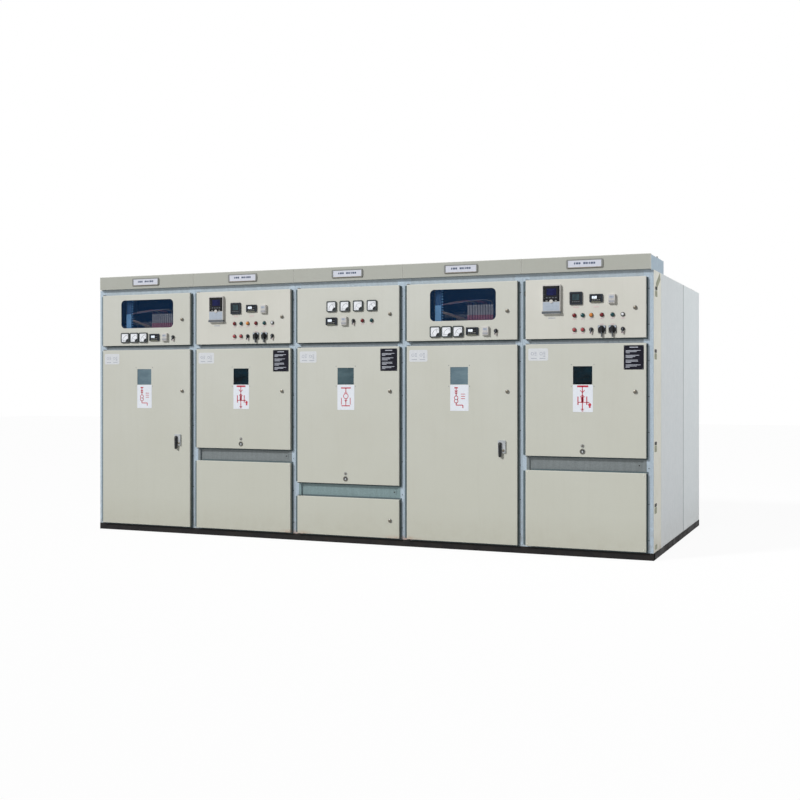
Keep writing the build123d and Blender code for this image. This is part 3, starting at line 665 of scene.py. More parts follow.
# Pointer meters: rounded frame and case, card, scale, needle and the corner cover over the pivot
meter = {
    "size": 0.090, "depth": 0.012, "radius": 0.012, "ease": 0.0015, "lip": 0.002, "recess": 0.003,
    "case": 0.0774, "caseLength": 0.070, "card": 0.072, "cardThick": 0.0005, "ink": 0.0003, "line": 0.0012,
    "pivot": (0.027, -0.027), "scale": 0.050, "ticks": 10, "short": 0.004, "long": 0.0065,
    "figureAt": 0.040, "figure": (0.009, 0.0009), "figureShares": (0.02, 0.98),
    "top": ("5", "10", "10", "15", "20", "20", "30", "5", "10", "10"),
    "needle": 0.051, "needleReach": (0.0012, 0.0017), "rest": 172, "turn": 21,
    "cover": 0.026, "coverTop": 0.0026, "coverInset": 0.001, "innerShare": 0.6,
}
dials = Piece("meter_dials", "frame", "black_plastic")
pu, pv = meter["pivot"]


def swung(radius, degrees):
    turn = math.radians(degrees)
    return pu + radius * math.cos(turn), pv + radius * math.sin(turn)


for number, solid in enumerate(solidsOf("panel_meters")):
    at = frontOf(solid, meter["recess"])
    size, radius, recess, scale = meter["size"], meter["radius"], meter["recess"], meter["scale"]
    outer = roundedOutline(0, 0, size, size, radius)
    rimSize = size - 2 * meter["ease"]
    rim = roundedOutline(0, 0, rimSize, rimSize, radius - meter["ease"])
    inner = roundedOutline(0, 0, meter["card"], meter["card"], radius * meter["innerShare"])
    back, card = recess - meter["depth"], meter["cardThick"]
    loops = [(outer, back), (outer, recess - meter["lip"]), (rim, recess), (inner, recess), (inner, 0)]
    dials.loft(at, loops, "meterFrame")
    dials.slab(at, 0, 0, meter["case"], meter["case"], back - meter["caseLength"], back, "blackPlastic")
    dials.prism(at, inner, 0, card, "dialCard")
    ink = card, card + meter["ink"]
    band = arc(pu, pv, scale, 90, 180, 18) + arc(pu, pv, scale - meter["line"], 180, 90, 18)
    dials.prism(at, band, *ink, "blackPlastic")
    for k in range(meter["ticks"] + 1):
        turn, reach = 180 - 90 * k / meter["ticks"], meter["short"] if k % 5 else meter["long"]
        dials.bar(at, swung(scale, turn), swung(scale + reach, turn), meter["line"], *ink, "blackPlastic")
    for share, words in zip(meter["figureShares"], ("0", meter["top"][number % len(meter["top"])])):
        dials.figures(at, words, *swung(meter["figureAt"], 180 - 90 * share), *meter["figure"], "blackPlastic")
    tip = swung(meter["needle"], meter["rest"] - meter["turn"] * (number % 4))
    dials.bar(at, (pu, pv), tip, meter["line"], *meter["needleReach"], "blackPlastic")
    corner = meter["card"] / 2 - meter["coverInset"]
    wedge = [(corner, -corner)] + arc(corner, -corner, meter["cover"], 90, 180, 10)
    dials.prism(at, wedge, card, meter["coverTop"], "blackPlastic")
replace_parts(dials.done(), "panel_meters")

# Digital meters: bright figures at the left, keys at the right. Power meters: three rows of figures
display = {
    "recess": 0.002,
    "face": [
        ("slab", "blackGlass", (0, 0), (0.074, 0.044, 0, 0.0006)),
        ("slab", "displayStrip", (0, -0.0285), (0.070, 0.007, 0.002, 0.0025)),
        ("rounded", "screenWhite", (-0.013, 0.006), (0.036, 0.019, 0.002, 0.0006, 0.0012)),
        ("screw", "footPlastic", (0.016, 0.006), (0.0028, 10, 0.0020), 3, 0.008, 0),
        ("rounded", "greyPlastic", (-0.026, -0.0135), (0.011, 0.006, 0.002, 0.0006, 0.0016), 4, 0.017, 0),
    ],
    "words": ("305", "308"), "wordsAt": (-0.0235, 0.006), "tall": 0.011, "lift": 0.0012,
}
power = {
    "recess": 0.002,
    "face": [
        ("slab", "blackGlass", (0, 0), (0.0725, 0.0725, 0, 0.0006)),
        ("rounded", "screenGreen", (0, 0.008), (0.054, 0.046, 0.002, 0.0006, 0.0012)),
        ("rounded", "footPlastic", (-0.024, -0.0265), (0.011, 0.007, 0.002, 0.0006, 0.0018), 4, 0.016, 0),
    ],
    "words": "0350", "rows": (0.022, 0.008, -0.006), "wordsFrom": -0.017, "tall": 0.009, "lift": 0.0012,
}
# each stroke of a figure: across, up, and whether it lies flat
strokes = {
    "a": (0, 1, 1), "g": (0, 0, 1), "d": (0, -1, 1),
    "f": (-1, 0.5, 0), "b": (1, 0.5, 0), "e": (-1, -0.5, 0), "c": (1, -0.5, 0),
}
digits = {"0": "abcdef", "3": "abcdg", "5": "afgcd", "8": "abcdefg"}
# shares of the height of a figure, and the ink
segment = {"step": 0.8, "across": 0.25, "up": 0.5, "flat": (0.42, 0.1), "upright": (0.1, 0.4), "ink": 0.0003}


def segments(piece, at, words, u, v, height, lift, finish):
    for k, digit in enumerate(words):
        for su, sv, flat in (strokes[stroke] for stroke in digits[digit]):
            du = u + k * height * segment["step"] + su * height * segment["across"]
            dv = v + sv * height * segment["up"]
            wide, tall = segment["flat"] if flat else segment["upright"]
            piece.slab(at, du, dv, wide * height, tall * height, lift, lift + segment["ink"], finish)


faces = Piece("display_faces", "frame", "black_plastic")
for number, solid in enumerate(solidsOf("digital_meters")):
    at = frontOf(solid, display["recess"])
    faces.draw(at, display["face"])
    words = display["words"][number % 2]
    segments(faces, at, words, *display["wordsAt"], display["tall"], display["lift"], "markInk")
for solid in solidsOf("power_meters"):
    at = frontOf(solid, power["recess"])
    faces.draw(at, power["face"])
    for v in power["rows"]:
        segments(faces, at, power["words"], power["wordsFrom"], v, power["tall"], power["lift"], "blackGlass")
faces.done()

# Humidity and temperature controllers
controller = {
    "face": [
        ("rounded", "bluePalePlastic", (0, 0.014), (0.034, 0.018, 0.002, 0, 0.0008)),
        ("rounded", "markGrey", (-0.004, 0.015), (0.02, 0.010, 0.001, 0.0008, 0.0012)),
        ("screw", "markGrey", (-0.011, -0.002), (0.0026, 10, 0.0012), 3, 0.011, 0),
        ("rounded", "controllerFoot", (0, -0.019), (0.042, 0.016, 0.002, 0, 0.0025)),
        ("slab", "markGrey", (-0.0135, -0.019), (0.004, 0.011, 0.0025, 0.0029), 4, 0.009, 0),
    ],
}
covers = Piece("controller_faces", "frame", "pale_plastic")
for solid in solidsOf("climate_controllers"):
    covers.draw(frontOf(solid), controller["face"])
covers.done()

# Protection relays: black upper half round the screen, pale lower half with keys, foot bar
relay = {
    "keyProud": 0.004, "recess": 0.004, "width": 0.143, "height": 0.228, "screenShare": 0.58,
    "glassShare": 0.74, "glass": 0.0006, "rim": 0.006, "black": 0.0012,
    "screen": [
        ("rounded", "screenBlue", (0, 0.008), (0.076, 0.054, 0.002, -0.0034, -0.0029)),
        ("slab", "screenRow", (-0.006, 0.027), (0.056, 0.003, -0.0029, -0.0026), 2, 0, -0.0285),
        ("slab", "screenRow", (-0.006, 0.0175), (0.038, 0.003, -0.0029, -0.0026), 2, 0, -0.0285),
        ("slab", "screenRow", (-0.006, 0.008), (0.047, 0.003, -0.0029, -0.0026)),
        ("rounded", "footPlastic", (-0.036, -0.036), (0.015, 0.007, 0.002, -0.0034, -0.0014), 4, 0.024, 0),
        ("screw", "lensGreen", (-0.0575, 0.04), (0.0024, 10, 0.002)),
        ("screw", "greyPlastic", (-0.0575, 0.024), (0.0024, 10, 0.002), 5, 0, -0.016),
    ],
    "lower": [
        ("rounded", "greyPlastic", (-0.036, 0.006), (0.016, 0.009, 0.004, 0.0012, 0.0026), 2, 0.072, 0),
        ("slab", "bluePalePlastic", (0, -0.03788), (0.131, 0.06776, 0, 0.0008)),
        ("rounded", "bluePalePlastic", (-0.036, -0.034), (0.022, 0.012, 0.003, 0.0008, 0.0018), 3, 0.036, 0),
        ("rounded", "bluePalePlastic", (-0.036, -0.056), (0.022, 0.012, 0.003, 0.0008, 0.0018), 3, 0.036, 0),
        ("rounded", "footPlastic", (0, -0.08376), (0.150, 0.018, 0.003, -0.018, 0.0015)),
        ("lathe", "palePlastic", (0, 0), ([(0.0145, 0), (0.0145, 0.0028), (0.0138, 0.0038)], 24)),
    ],
    "mark": [("slab", "markGrey", (0, -0.030), (0.056, 0.006, 0, 0.0006))],
}
relays = Piece("relay_faces", "frame", "black_plastic")
screenHigh = relay["height"] * relay["screenShare"]
middle = (relay["height"] - screenHigh) / 2
glassWide, glassHigh = relay["width"] * relay["glassShare"], screenHigh * relay["glassShare"]
outWide, outTop = relay["width"] / 2 - relay["rim"], relay["height"] / 2 - 2 * relay["rim"]
outLow, sideWide = relay["height"] / 2 - screenHigh, outWide - glassWide / 2
for solid in solidsOf("protection_relays"):
    at = frontOf(solid, relay["keyProud"])
    for side in (-1, 1):
        u = side * (glassWide + sideWide) / 2
        relays.slab(at, u, (outTop + outLow) / 2, sideWide, outTop - outLow, 0, relay["black"], "relayBlack")
    for low, high in ((outLow, middle - glassHigh / 2), (middle + glassHigh / 2, outTop)):
        relays.slab(at, 0, (low + high) / 2, glassWide, high - low, 0, relay["black"], "relayBlack")
    reach = -relay["recess"], relay["glass"] - relay["recess"]
    relays.slab(at, 0, middle, glassWide, glassHigh, *reach, "blackGlass")
    relays.draw(moved(at, 0, middle), relay["screen"])
    relays.draw(moved(at, 0, outLow), relay["lower"])
    relays.draw(frontAt(solid["mid"].x, faceY, solid["low"].z), relay["mark"])
relays.done()

# Lamps, buttons and knobs: a dark ring round a domed lens, a cap or a pointer grip
fitting = {
    "neck": [(0.011, -0.045), (0.011, 0.0)],
    "ring": [(0.0165, 0.0), (0.0165, 0.004), (0.0152, 0.006)],
    "lens": [(0.0145, 0.006), (0.0142, 0.0088), (0.0124, 0.0116), (0.009, 0.0136), (0.004, 0.0144)],
    "cap": [(0.0132, 0.006), (0.0132, 0.0106), (0.0118, 0.0122)],
    "boss": [(0.0125, 0.006), (0.0125, 0.0105), (0.0112, 0.012)],
    "grip": ((0.003, 0.012), (-0.005, -0.030), 0.0075, 0.012, 0.0185),
    "pointer": ((0.002, 0.007), (-0.004, -0.025), 0.0018, 0.0185, 0.0189),
    "whiteShare": 0.72,
}
feederLamps = ("lensRed", "lensGreen", "lensAmber", "lensRed", "lensGreen", "lensWhite")
lampOrder = feederLamps + ("lensRed", "lensGreen") + feederLamps


def fittingOn(piece, solid, profile, finish):
    at = frontAt(solid["mid"].x, faceY, solid["mid"].z)
    piece.lathe(at, 0, 0, fitting["neck"], 16, "darkSteel")
    piece.lathe(at, 0, 0, fitting["ring"], 28, "darkSteel")
    piece.lathe(at, 0, 0, profile, 28, finish)
    return at


lamps = Piece("lamp_lenses", "frame", "lamp_plastic")
for solid, lens in zip(solidsOf("indicator_lamps"), lampOrder):
    share = fitting["whiteShare"] if lens == "lensWhite" else 1.0
    fittingOn(lamps, solid, [(radius * share, reach) for radius, reach in fitting["lens"]], lens)
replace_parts(lamps.done(), "indicator_lamps")
buttons = Piece("button_caps", "frame", "black_plastic")
for solid in solidsOf("push_buttons"):
    fittingOn(buttons, solid, fitting["cap"], "buttonRed")
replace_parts(buttons.done(), "push_buttons")
knobs = Piece("knob_grips", "frame", "black_plastic")
for solid in solidsOf("rotary_knobs"):
    at = fittingOn(knobs, solid, fitting["boss"], "blackPlastic")
    knobs.bar(at, *fitting["grip"], "blackPlastic")
    knobs.bar(at, *fitting["pointer"], "markGrey")
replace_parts(knobs.done(), "rotary_knobs")

# Corner plates of the square selectors: the upper ones paler than the lower ones, a painted highlight on the
# top
selector = {
    "half": 0.0275, "reach": (0.007, 0.0078),
    "plates": ((1, 0.019, "bluePalePlastic"), (-1, 0.012, "greyPlastic")),  # up or down, leg and finish
}
corners = Piece("selector_corners", "frame", "pale_plastic")
for solid in solidsOf("selector_switches"):
    at, half = frontAt(solid["mid"].x, faceY, selectorSpan(solid)[0]), selector["half"]
    for side in (-1, 1):
        for up, leg, finish in selector["plates"]:
            wedge = [(half, half), (half - leg, half), (half, half - leg)]
            outline = [(side * u, up * v) for u, v in wedge]
            corners.prism(at, outline[::side * up], *selector["reach"], finish)
corners.done()

# Legend plates under the lamps, buttons and knobs, over the selectors and under the meters of the feeders
legend = {
    "plate": (0.030, 0.010, 0.002), "line": (0.016, 0.0025), "lift": 0.0006, "ink": 0.0002, "drop": -0.027,
    "over": 0.038, "wide": (0.042, 0.010, 0.002), "wideAt": ((0.434, 1.911), (0.590, 1.911)),
}
legends = Piece("legend_plates", "frame", "pale_plastic")
lift = legend["lift"]
for name in ("indicator_lamps", "push_buttons", "rotary_knobs", "selector_switches"):
    for solid in solidsOf(name):
        z, drop = solid["mid"].z, legend["drop"]
        if name == "selector_switches":
            z, drop = selectorSpan(solid)[0], legend["over"]
        at = frontAt(solid["mid"].x, faceY, z)
        legends.rounded(at, 0, drop, *legend["plate"], 0, lift, "legendPlate")
        legends.slab(at, 0, drop, *legend["line"], lift, lift + legend["ink"], "markGrey")
for index in row["feeders"]:
    for x, z in legend["wideAt"]:
        legends.rounded(frontAt(cubicleX(index, x), faceY, z), 0, 0, *legend["wide"], 0, lift, "legendPlate")
legends.done()
print("instruments dressed")

# Locks: a seat, a sleeve and a rotating dust cap with its key slot
lock = {
    "proud": 0.004,
    "parts": [
        ("lathe", "screwSteel", (0, 0), ([(0.0165, 0), (0.0165, 0.001), (0.0134, 0.002)], 28)),
        ("lathe", "lockSteel", (0, 0), ([(0.0134, 0.002), (0.0134, 0.0086), (0.0124, 0.0096)], 28)),
        ("lathe", "lockSteel", (0, 0), ([(0.0095, 0.0096), (0.0095, 0.0106), (0.0076, 0.0116)], 20)),
        ("slab", "shadowBlack", (0, 0), (0.0022, 0.011, 0.0116, 0.0119)),
    ],
}


def dressLock(piece, name):
    low, high = boxOf([v.co for v in nodes[name].data.vertices if v.co.y < faceY - lock["proud"]])
    piece.draw(frontAt((low.x + high.x) / 2, faceY, (low.z + high.z) / 2), lock["parts"])


upperLocks = Piece("instrument_door_locks", "frame", "plated_steel")
for number in numbers:
    dressLock(upperLocks, f"instrument_door_{number}")
upperLocks.done()
lowerLock = Piece("cable_door_lock", "cable_door_3", "plated_steel")
dressLock(lowerLock, "cable_door_3")
lowerLock.done()


# Plates on the compartment doors, from corner to corner within a cubicle
def plateAt(index, sizes):
    (x0, z0), (x1, z1) = sizes["from"], sizes["to"]
    return frontAt(cubicleX(index, (x0 + x1) / 2), faceY, (z0 + z1) / 2), x1 - x0, z1 - z0


# White sticker with plain rings and bars
sticker = {
    "from": (0.056, 1.505), "to": (0.215, 1.600), "thick": 0.0004, "radius": 0.012, "halfShare": 0.22,
    "half": [
        ("disc", "markGrey", (-0.012, 0.006), (0.012, 16, 0.0004, 0.0006)),
        ("disc", "stickerWhite", (-0.012, 0.006), (0.009, 16, 0.0004, 0.0007)),
        ("slab", "markGrey", (0.014, 0.018), (0.016, 0.0035, 0.0004, 0.0006), 3, 0, -0.011),
        ("slab", "markGrey", (0, -0.030), (0.046, 0.004, 0.0004, 0.0006)),
    ],
    "right": [("slab", "markGrey", (0.014, -0.015), (0.016, 0.0035, 0.0004, 0.0006))],
}


def dressSticker(piece, index):
    at, width, height = plateAt(index, sticker)
    piece.rounded(at, 0, 0, width, height, sticker["radius"], 0, sticker["thick"], "stickerWhite", 5)
    for side in (-1, 1):
        half = sticker["half"] + (sticker["right"] if side > 0 else [])
        piece.draw(moved(at, side * width * sticker["halfShare"], 0), half)


# The diagram is a plain busbar, breaker, feeder and earth, drawn for this part: strokes by their ends and
# width, vees by tip, size and way, rings by middle, radii and sides, blocks by middle and size
mimic = {
    "from": (0.410, 1.110), "to": (0.565, 1.318), "thick": 0.0008, "ink": 0.0003, "over": 0.0002,
    "radius": 0.004, "vee": 0.0056,
}
meteringMimic = {
    "strokes": [
        (-0.042, 0.080, -0.012, 0.080, 0.010), (-0.027, 0.080, -0.027, -0.060, 0.007),
        (-0.027, -0.058, 0.030, -0.058, 0.007), (0.014, 0.030, 0.048, 0.030, 0.005),
        (0.014, 0.012, 0.048, 0.012, 0.005), (0.014, -0.006, 0.048, -0.006, 0.005),
        (0.030, -0.058, 0.030, -0.082, 0.007),
    ],
    "vees": [(-0.027, 0.046, 0.012, 1), (-0.027, 0.030, 0.012, 1)],
    "rings": [(-0.027, 0.000, 0.018, 0.012, 24), (-0.027, -0.026, 0.018, 0.012, 24)],
    "blocks": [],
}
tieMimic = {
    "strokes": [
        (-0.045, 0.078, 0.045, 0.078, 0.010), (0, 0.078, 0, 0.046, 0.007), (0, -0.014, 0, -0.070, 0.007),
        (-0.040, -0.004, -0.040, -0.060, 0.006), (0.040, -0.004, 0.040, -0.060, 0.006),
        (-0.040, -0.070, 0.040, -0.070, 0.008),
    ],
    "vees": [(0, 0.046, 0.012, -1), (0, -0.034, 0.012, 1)],
    "rings": [(0, 0.010, 0.024, 0.018, 28)],
    "blocks": [],
}
feederMimic = {
    "strokes": [
        (-0.045, 0.092, 0.042, 0.092, 0.014), (-0.004, 0.092, -0.004, -0.092, 0.007),
        (-0.038, 0.014, -0.038, -0.050, 0.008), (0.030, 0.014, 0.030, -0.050, 0.008),
        (-0.038, -0.030, 0.050, -0.030, 0.006), (-0.018, -0.082, 0.010, -0.082, 0.004),
        (-0.014, -0.090, 0.006, -0.090, 0.004), (-0.010, -0.098, 0.002, -0.098, 0.004),
    ],
    "vees": [(-0.004, 0.044, 0.018, 1), (-0.004, 0.026, 0.016, -1)],
    "rings": [(0.053, -0.048, 0.012, 0, 20)],
    "blocks": [(-0.004, -0.008, 0.020, 0.040), (0.053, -0.066, 0.014, 0.012)],
}


def dressMimic(piece, index):
    at, width, height = plateAt(index, mimic)
    top, ink = mimic["thick"], mimic["thick"] + mimic["ink"]
    piece.rounded(at, 0, 0, width, height, mimic["radius"], 0, top, "plateWhite")
    drawing = meteringMimic if index in row["metering"] else tieMimic if index == row["tie"] else feederMimic
    for u0, v0, u1, v1, wide in drawing["strokes"]:
        piece.bar(at, (u0, v0), (u1, v1), wide, top, ink, "markRed")
    for u, v, size, way in drawing["vees"]:
        for side in (-1, 1):
            piece.bar(at, (u, v), (u + side * size, v + way * size), mimic["vee"], top, ink, "markRed")
    for u, v, outer, inner, sides in drawing["rings"]:
        piece.disc(at, u, v, outer, sides, top, ink, "markRed")
        if inner:
            piece.disc(at, u, v, inner, sides, top, ink + mimic["over"], "plateWhite")
    for block in drawing["blocks"]:
        piece.slab(at, *block, top, ink, "markRed")


# Dark plate with pale bars in blocks
rules = {
    "from": (0.800, 1.432), "to": (0.950, 1.615), "thick": 0.001, "ink": 0.0002, "radius": 0.003,
    "head": (0.015, 0.42, 0.006), "blocks": 4, "blockFrom": 0.040, "blockStep": 0.036,
    "lines": (0.74, 0.62, 0.34), "lineFrom": 0.4, "lineStep": 0.0085, "line": 0.004, "ragged": 0.07,
    "screw": (0.0026, 8, 0.0022), "screwInset": 0.006,
}


def dressRules(piece, index):
    at, width, height = plateAt(index, rules)
    ink = rules["thick"], rules["thick"] + rules["ink"]
    piece.rounded(at, 0, 0, width, height, rules["radius"], 0, rules["thick"], "rulePlate")
    drop, share, tall = rules["head"]
    piece.slab(at, 0, height / 2 - drop, width * share, tall, *ink, "markPale")
    for k in range(rules["blocks"]):
        v = height / 2 - rules["blockFrom"] - rules["blockStep"] * k
        for j, share in enumerate(rules["lines"]):
            long = width * (share - rules["ragged"] * ((k + j) % 3))
            place = long / 2 - width * rules["lineFrom"], v - rules["lineStep"] * j
            piece.slab(at, *place, long, rules["line"], *ink, "markPale")
    inset = rules["screwInset"]
    piece.cornerScrews(at, width / 2 - inset, height / 2 - inset, *rules["screw"], "screwSteel")


# Racking port with its ring, and the release above it
racking = {
    "along": 0.484,
    "parts": [
        ("lathe", "darkSteel", (0, 0.042), ([(0.0145, -0.003), (0.0145, -0.0008)], 24)),
        ("ring", "lugSteel", (0, 0.042), (0.021, 0.015, 24, 0.003)),
        ("rounded", "fittingSteel", (0, 0.040), (0.012, 0.016, 0.004, -0.0008, 0.002)),
        ("lathe", "lockSteel", (0, 0.085), ([(0.0075, -0.003), (0.0075, 0.004), (0.005, 0.006)], 20)),
        ("ring", "screwSteel", (0, 0.085), (0.0135, 0.008, 18, 0.0025)),
    ],
}
paneScrews = {"half": (0.088, 0.083), "screw": (0.0036, 12, 0.0022)}
for index in range(row["cubicles"]):
    number = index + 1
    door = Piece(f"compartment_door_fittings_{number}", f"compartment_door_{number}", "plated_steel")
    dressLock(door, f"compartment_door_{number}")
    dressSticker(door, index)
    dressMimic(door, index)
    low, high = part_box(f"view_window_{number}")
    at = frontAt((low.x + high.x) / 2, faceY, (low.z + high.z) / 2)
    door.cornerScrews(at, *paneScrews["half"], *paneScrews["screw"], "screwSteel")
    if index not in row["metering"]:
        dressRules(door, index)
        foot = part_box(f"compartment_door_{number}")[0].z
        door.draw(frontAt(cubicleX(index, racking["along"]), faceY, foot), racking["parts"])
    door.done()

# Swing handles: lock barrel on the plate, and the lever with its eased edges and hub cap
handle = {
    "trim": [
        ("lathe", "lockSteel", (0.014, -0.030), ([(0.011, 0), (0.011, 0.002), (0.009, 0.003)], 20)),
        ("slab", "shadowBlack", (0.014, -0.030), (0.002, 0.010, 0.003, 0.0033)),
        ("screw", "screwSteel", (0.020, -0.040), (0.0035, 12, 0.002), 2, 0, 0.080),
    ],
    "hub": 0.013, "tip": 0.011, "ease": 0.003, "cap": 0.0015, "capRadius": (0.009, 0.0078), "capEase": 0.0005,
    "shaft": 0.0065, "off": 0.001,
}


def leverOutline(length, inset):
    drop = handle["hub"] + handle["tip"] - length
    return arc(0, drop, handle["tip"] - inset, 180, 360, 10) + arc(0, 0, handle["hub"] - inset, 0, 180, 12)


for index in row["metering"]:
    number = index + 1
    low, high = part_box(f"handle_plate_{number}")
    plateFront = low.y
    at = frontAt((low.x + high.x) / 2, plateFront, (low.z + high.z) / 2)
    trim = Piece(f"handle_trim_{number}", f"compartment_door_{number}", "plated_steel")
    trim.draw(at, handle["trim"])
    trim.done()
    low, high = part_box(f"handle_lever_{number}")
    pivot = frontAt((low.x + high.x) / 2, low.y, high.z - handle["hub"])
    lever = Piece(f"lever_grip_{number}", f"handle_lever_{number}", "black_plastic")
    ease, front, back = handle["ease"], -handle["cap"], low.y - plateFront + handle["off"]
    full, eased = leverOutline(high.z - low.z, 0), leverOutline(high.z - low.z, ease)
    loops = [(eased, back), (full, back + ease), (full, front - ease), (eased, front)]
    lever.loft(pivot, loops, "blackPlastic")
    wide, narrow = handle["capRadius"]
    lever.lathe(pivot, 0, 0, [(wide, front), (wide, -handle["capEase"]), (narrow, 0)], 24, "darkSteel")
    shaft = handle["shaft"]
    lever.lathe(pivot, 0, 0, [(shaft, low.y - plateFront), (shaft, back)], 20, "darkSteel")
    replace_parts(lever.done(), f"handle_lever_{number}")
print("doors dressed")

# Fasteners: rivets up the posts, tabs at the crossbars' ends, screws round the covers and panels
fastener = {
    "rivets": [("screw", "darkSteel", (-0.017, 0.150), (0.0042, 10, 0.0018), 8, 0, 0.270)],
    "stop": [("rounded", "darkSteel", (0.024, 2.030), (0.012, 0.034, 0.003, 0, 0.006))],
    "tab": (0.036, 0.034, 0.003, 0, 0.003), "tabInset": 0.034, "tabScrew": (0.006, 12, 0.006),
    "wing": (0.0225, 0.108, 0, 0.001),
}
rivets = Piece("post_rivets", "frame", "plated_steel")
for index in range(row["cubicles"]):
    rivets.draw(frontAt(cubicleX(index, pitch), postY, 0), fastener["rivets"])
    rivets.draw(frontAt(cubicleX(index, 0), postY, 0), fastener["stop"])
for solid in solidsOf("crossbars"):
    tab = frontAt(solid["high"].x - fastener["tabInset"], solid["low"].y, solid["mid"].z)
    tone, wide = "crossbarTealZinc" if inTie(solid) else "crossbarZinc", fastener["wing"][0]
    rivets.rounded(tab, 0, 0, *fastener["tab"], tone)
    for x in (solid["low"].x - wide / 2, solid["high"].x + wide / 2):
        rivets.slab(frontAt(x, postY, solid["mid"].z), 0, 0, *fastener["wing"], tone)
    rivets.screw(tab, 0, 0, *fastener["tabScrew"], "darkSteel")
rivets.done()

# inset from the edge, screws across and up, and how far the heads rise
coverScrews = {
    "head": (0.0055, 8), "sunk": 0.0020, "cable": (0.016, 2, 2, 0.002), "rear": (0.020, 4, 4, 0.0021),
    "roof": (0.022, 4, 3, 0.0025), "end": (0.022, 2, 6, 0.0021),
}
screws = Piece("cover_screws", "frame", "plated_steel")


def screwsAround(at, width, height, inset, across, up, rise, finish="screwSteel"):
    us = [-width / 2 + inset + (width - 2 * inset) * k / (across - 1) for k in range(across)]
    vs = [-height / 2 + inset + (height - 2 * inset) * k / (up - 1) for k in range(up)]
    for u, v in ((u, v) for u in us for v in vs if u in (us[0], us[-1]) or v in (vs[0], vs[-1])):
        screws.screw(at, u, v, *coverScrews["head"], rise, finish)


for solid in solidsOf("cable_covers"):
    screwsAround(frontOf(solid), solid["size"].x, solid["size"].z, *coverScrews["cable"], "doorPaint")
for solid in solidsOf("rear_covers"):
    place = solid["mid"].x, solid["high"].y - coverScrews["sunk"], solid["mid"].z
    at = facing(place, (-1, 0, 0), (0, 0, 1), (0, 1, 0))
    screwsAround(at, solid["size"].x, solid["size"].z, *coverScrews["rear"])
for solid in solidsOf("relief_flaps"):
    at = facing((solid["mid"].x, solid["mid"].y, solid["high"].z), (1, 0, 0), (0, 1, 0), (0, 0, 1))
    screwsAround(at, solid["size"].x, solid["size"].y, *coverScrews["roof"])
for solid in solidsOf("end_panels"):
    at = endOf(solid, solid["mid"].y, solid["mid"].z, coverScrews["sunk"])[1]
    screwsAround(at, solid["size"].y, solid["size"].z, *coverScrews["end"])
screws.done()

# Ends of the row: blanked holes, coupling slots with their plates, a slanted strap, the lap and the seam
ends = {
    "sunk": -0.002, "flush": 0.0004, "holeShares": (0.19, 0.40, 0.70, 0.92), "plug": 0.0105, "plugEase": 0.9,
    "slotShares": (0.286, 0.614, 0.833), "slot": (0.095, 0.026, 0.0125), "forward": 0.112,
    "plate": (0.100, 0.048, 0.016), "below": 0.040, "bolt": (0.009, 6, 0.0004, 0.0005),
    "strapFrom": (0.078, 2.152), "strapTo": (-0.090, 2.060), "strap": (0.056, -0.0015), "pinZ": 2.046,
    "footPlate": (0.090, 0.036, 0.008), "footZ": 0.092, "cream": 0.310, "lap": 0.004, "seam": 0.020,
}
fittings = Piece("end_fittings", "frame", "plated_steel")
reach = ends["sunk"], ends["flush"]


def coupling(at, u, z):
    fittings.rounded(at, u, z, *ends["slot"], *reach, "shadowBlack", 6)
    fittings.rounded(at, u, z - ends["below"], *ends["plate"], *reach, "strapSteel", 5)
    fittings.disc(at, u, z - ends["below"], *ends["bolt"], "darkSteel")


for solid in solidsOf("end_cheeks"):
    side, at = endOf(solid, solid["mid"].y, 0)
    plug, top, tall = ends["plug"], solid["high"].z, solid["size"].z
    for share in ends["holeShares"]:
        profile = [(plug, ends["sunk"]), (plug, 0), (plug * ends["plugEase"], ends["flush"])]
        fittings.lathe(at, 0, top - share * tall, profile, 16, "cheekPaint")
    for share in ends["slotShares"]:
        coupling(at, -side * ends["forward"], top - share * tall)
    (u0, z0), (u1, z1) = ends["strapFrom"], ends["strapTo"]
    fittings.bar(at, (side * u0, z0), (side * u1, z1), *ends["strap"], ends["flush"], "strapSteel")
    coupling(at, side * u1, ends["pinZ"])
    fittings.rounded(at, side * u1, ends["footZ"], *ends["footPlate"], *reach, "strapSteel")
for sign in (-1, 1):
    panels = (solid for solid in solidsOf("end_panels") if solid["mid"].x * sign > 0)
    front, rear = sorted(panels, key=lambda solid: solid["mid"].y)
    lapFrom, lapTo = postY + ends["cream"], front["low"].y + ends["lap"]  # the panel laps over the cheek's rear
    seamAt = (front["high"].y + rear["low"].y) / 2
    lap = ((lapFrom + lapTo) / 2, lapTo - lapFrom, "endPaint")
    for y, wide, finish in (lap, (seamAt, ends["seam"], "seamGrey")):
        at = endOf(front, y, front["mid"].z)[1]
        fittings.slab(at, 0, 0, wide, front["size"].z, *reach, finish)
fittings.done()
print("fasteners and end fittings set")

# Behind the large windows: a rail between the posts with a slotted duct and a terminal strip
wiring = {
    "posts": (0.056, 0.944), "rail": (1.862, 1.884), "railDepth": (0.036, 0.044), "front": 0.006,
    "duct": (0.268, 0.318), "ductSpan": (1.800, 2.100), "ductBack": 0.004, "lidTop": 1.958, "lidThick": 0.010,
    "lidShare": 1.04, "slot": 0.022, "tooth": 0.012, "toothShare": 0.45, "toothReach": (-0.030, -0.014),
    "strip": 0.540, "split": 1.874, "stripSpan": (1.815, 1.955), "deepStrip": (0.040, 0.004),
}
terminal = {
    "count": 10, "pitch": 0.022, "width": 0.017, "step": 0.003, "screw": (0.0042, 10, 0.001),
    "screwDrop": 0.012,
}


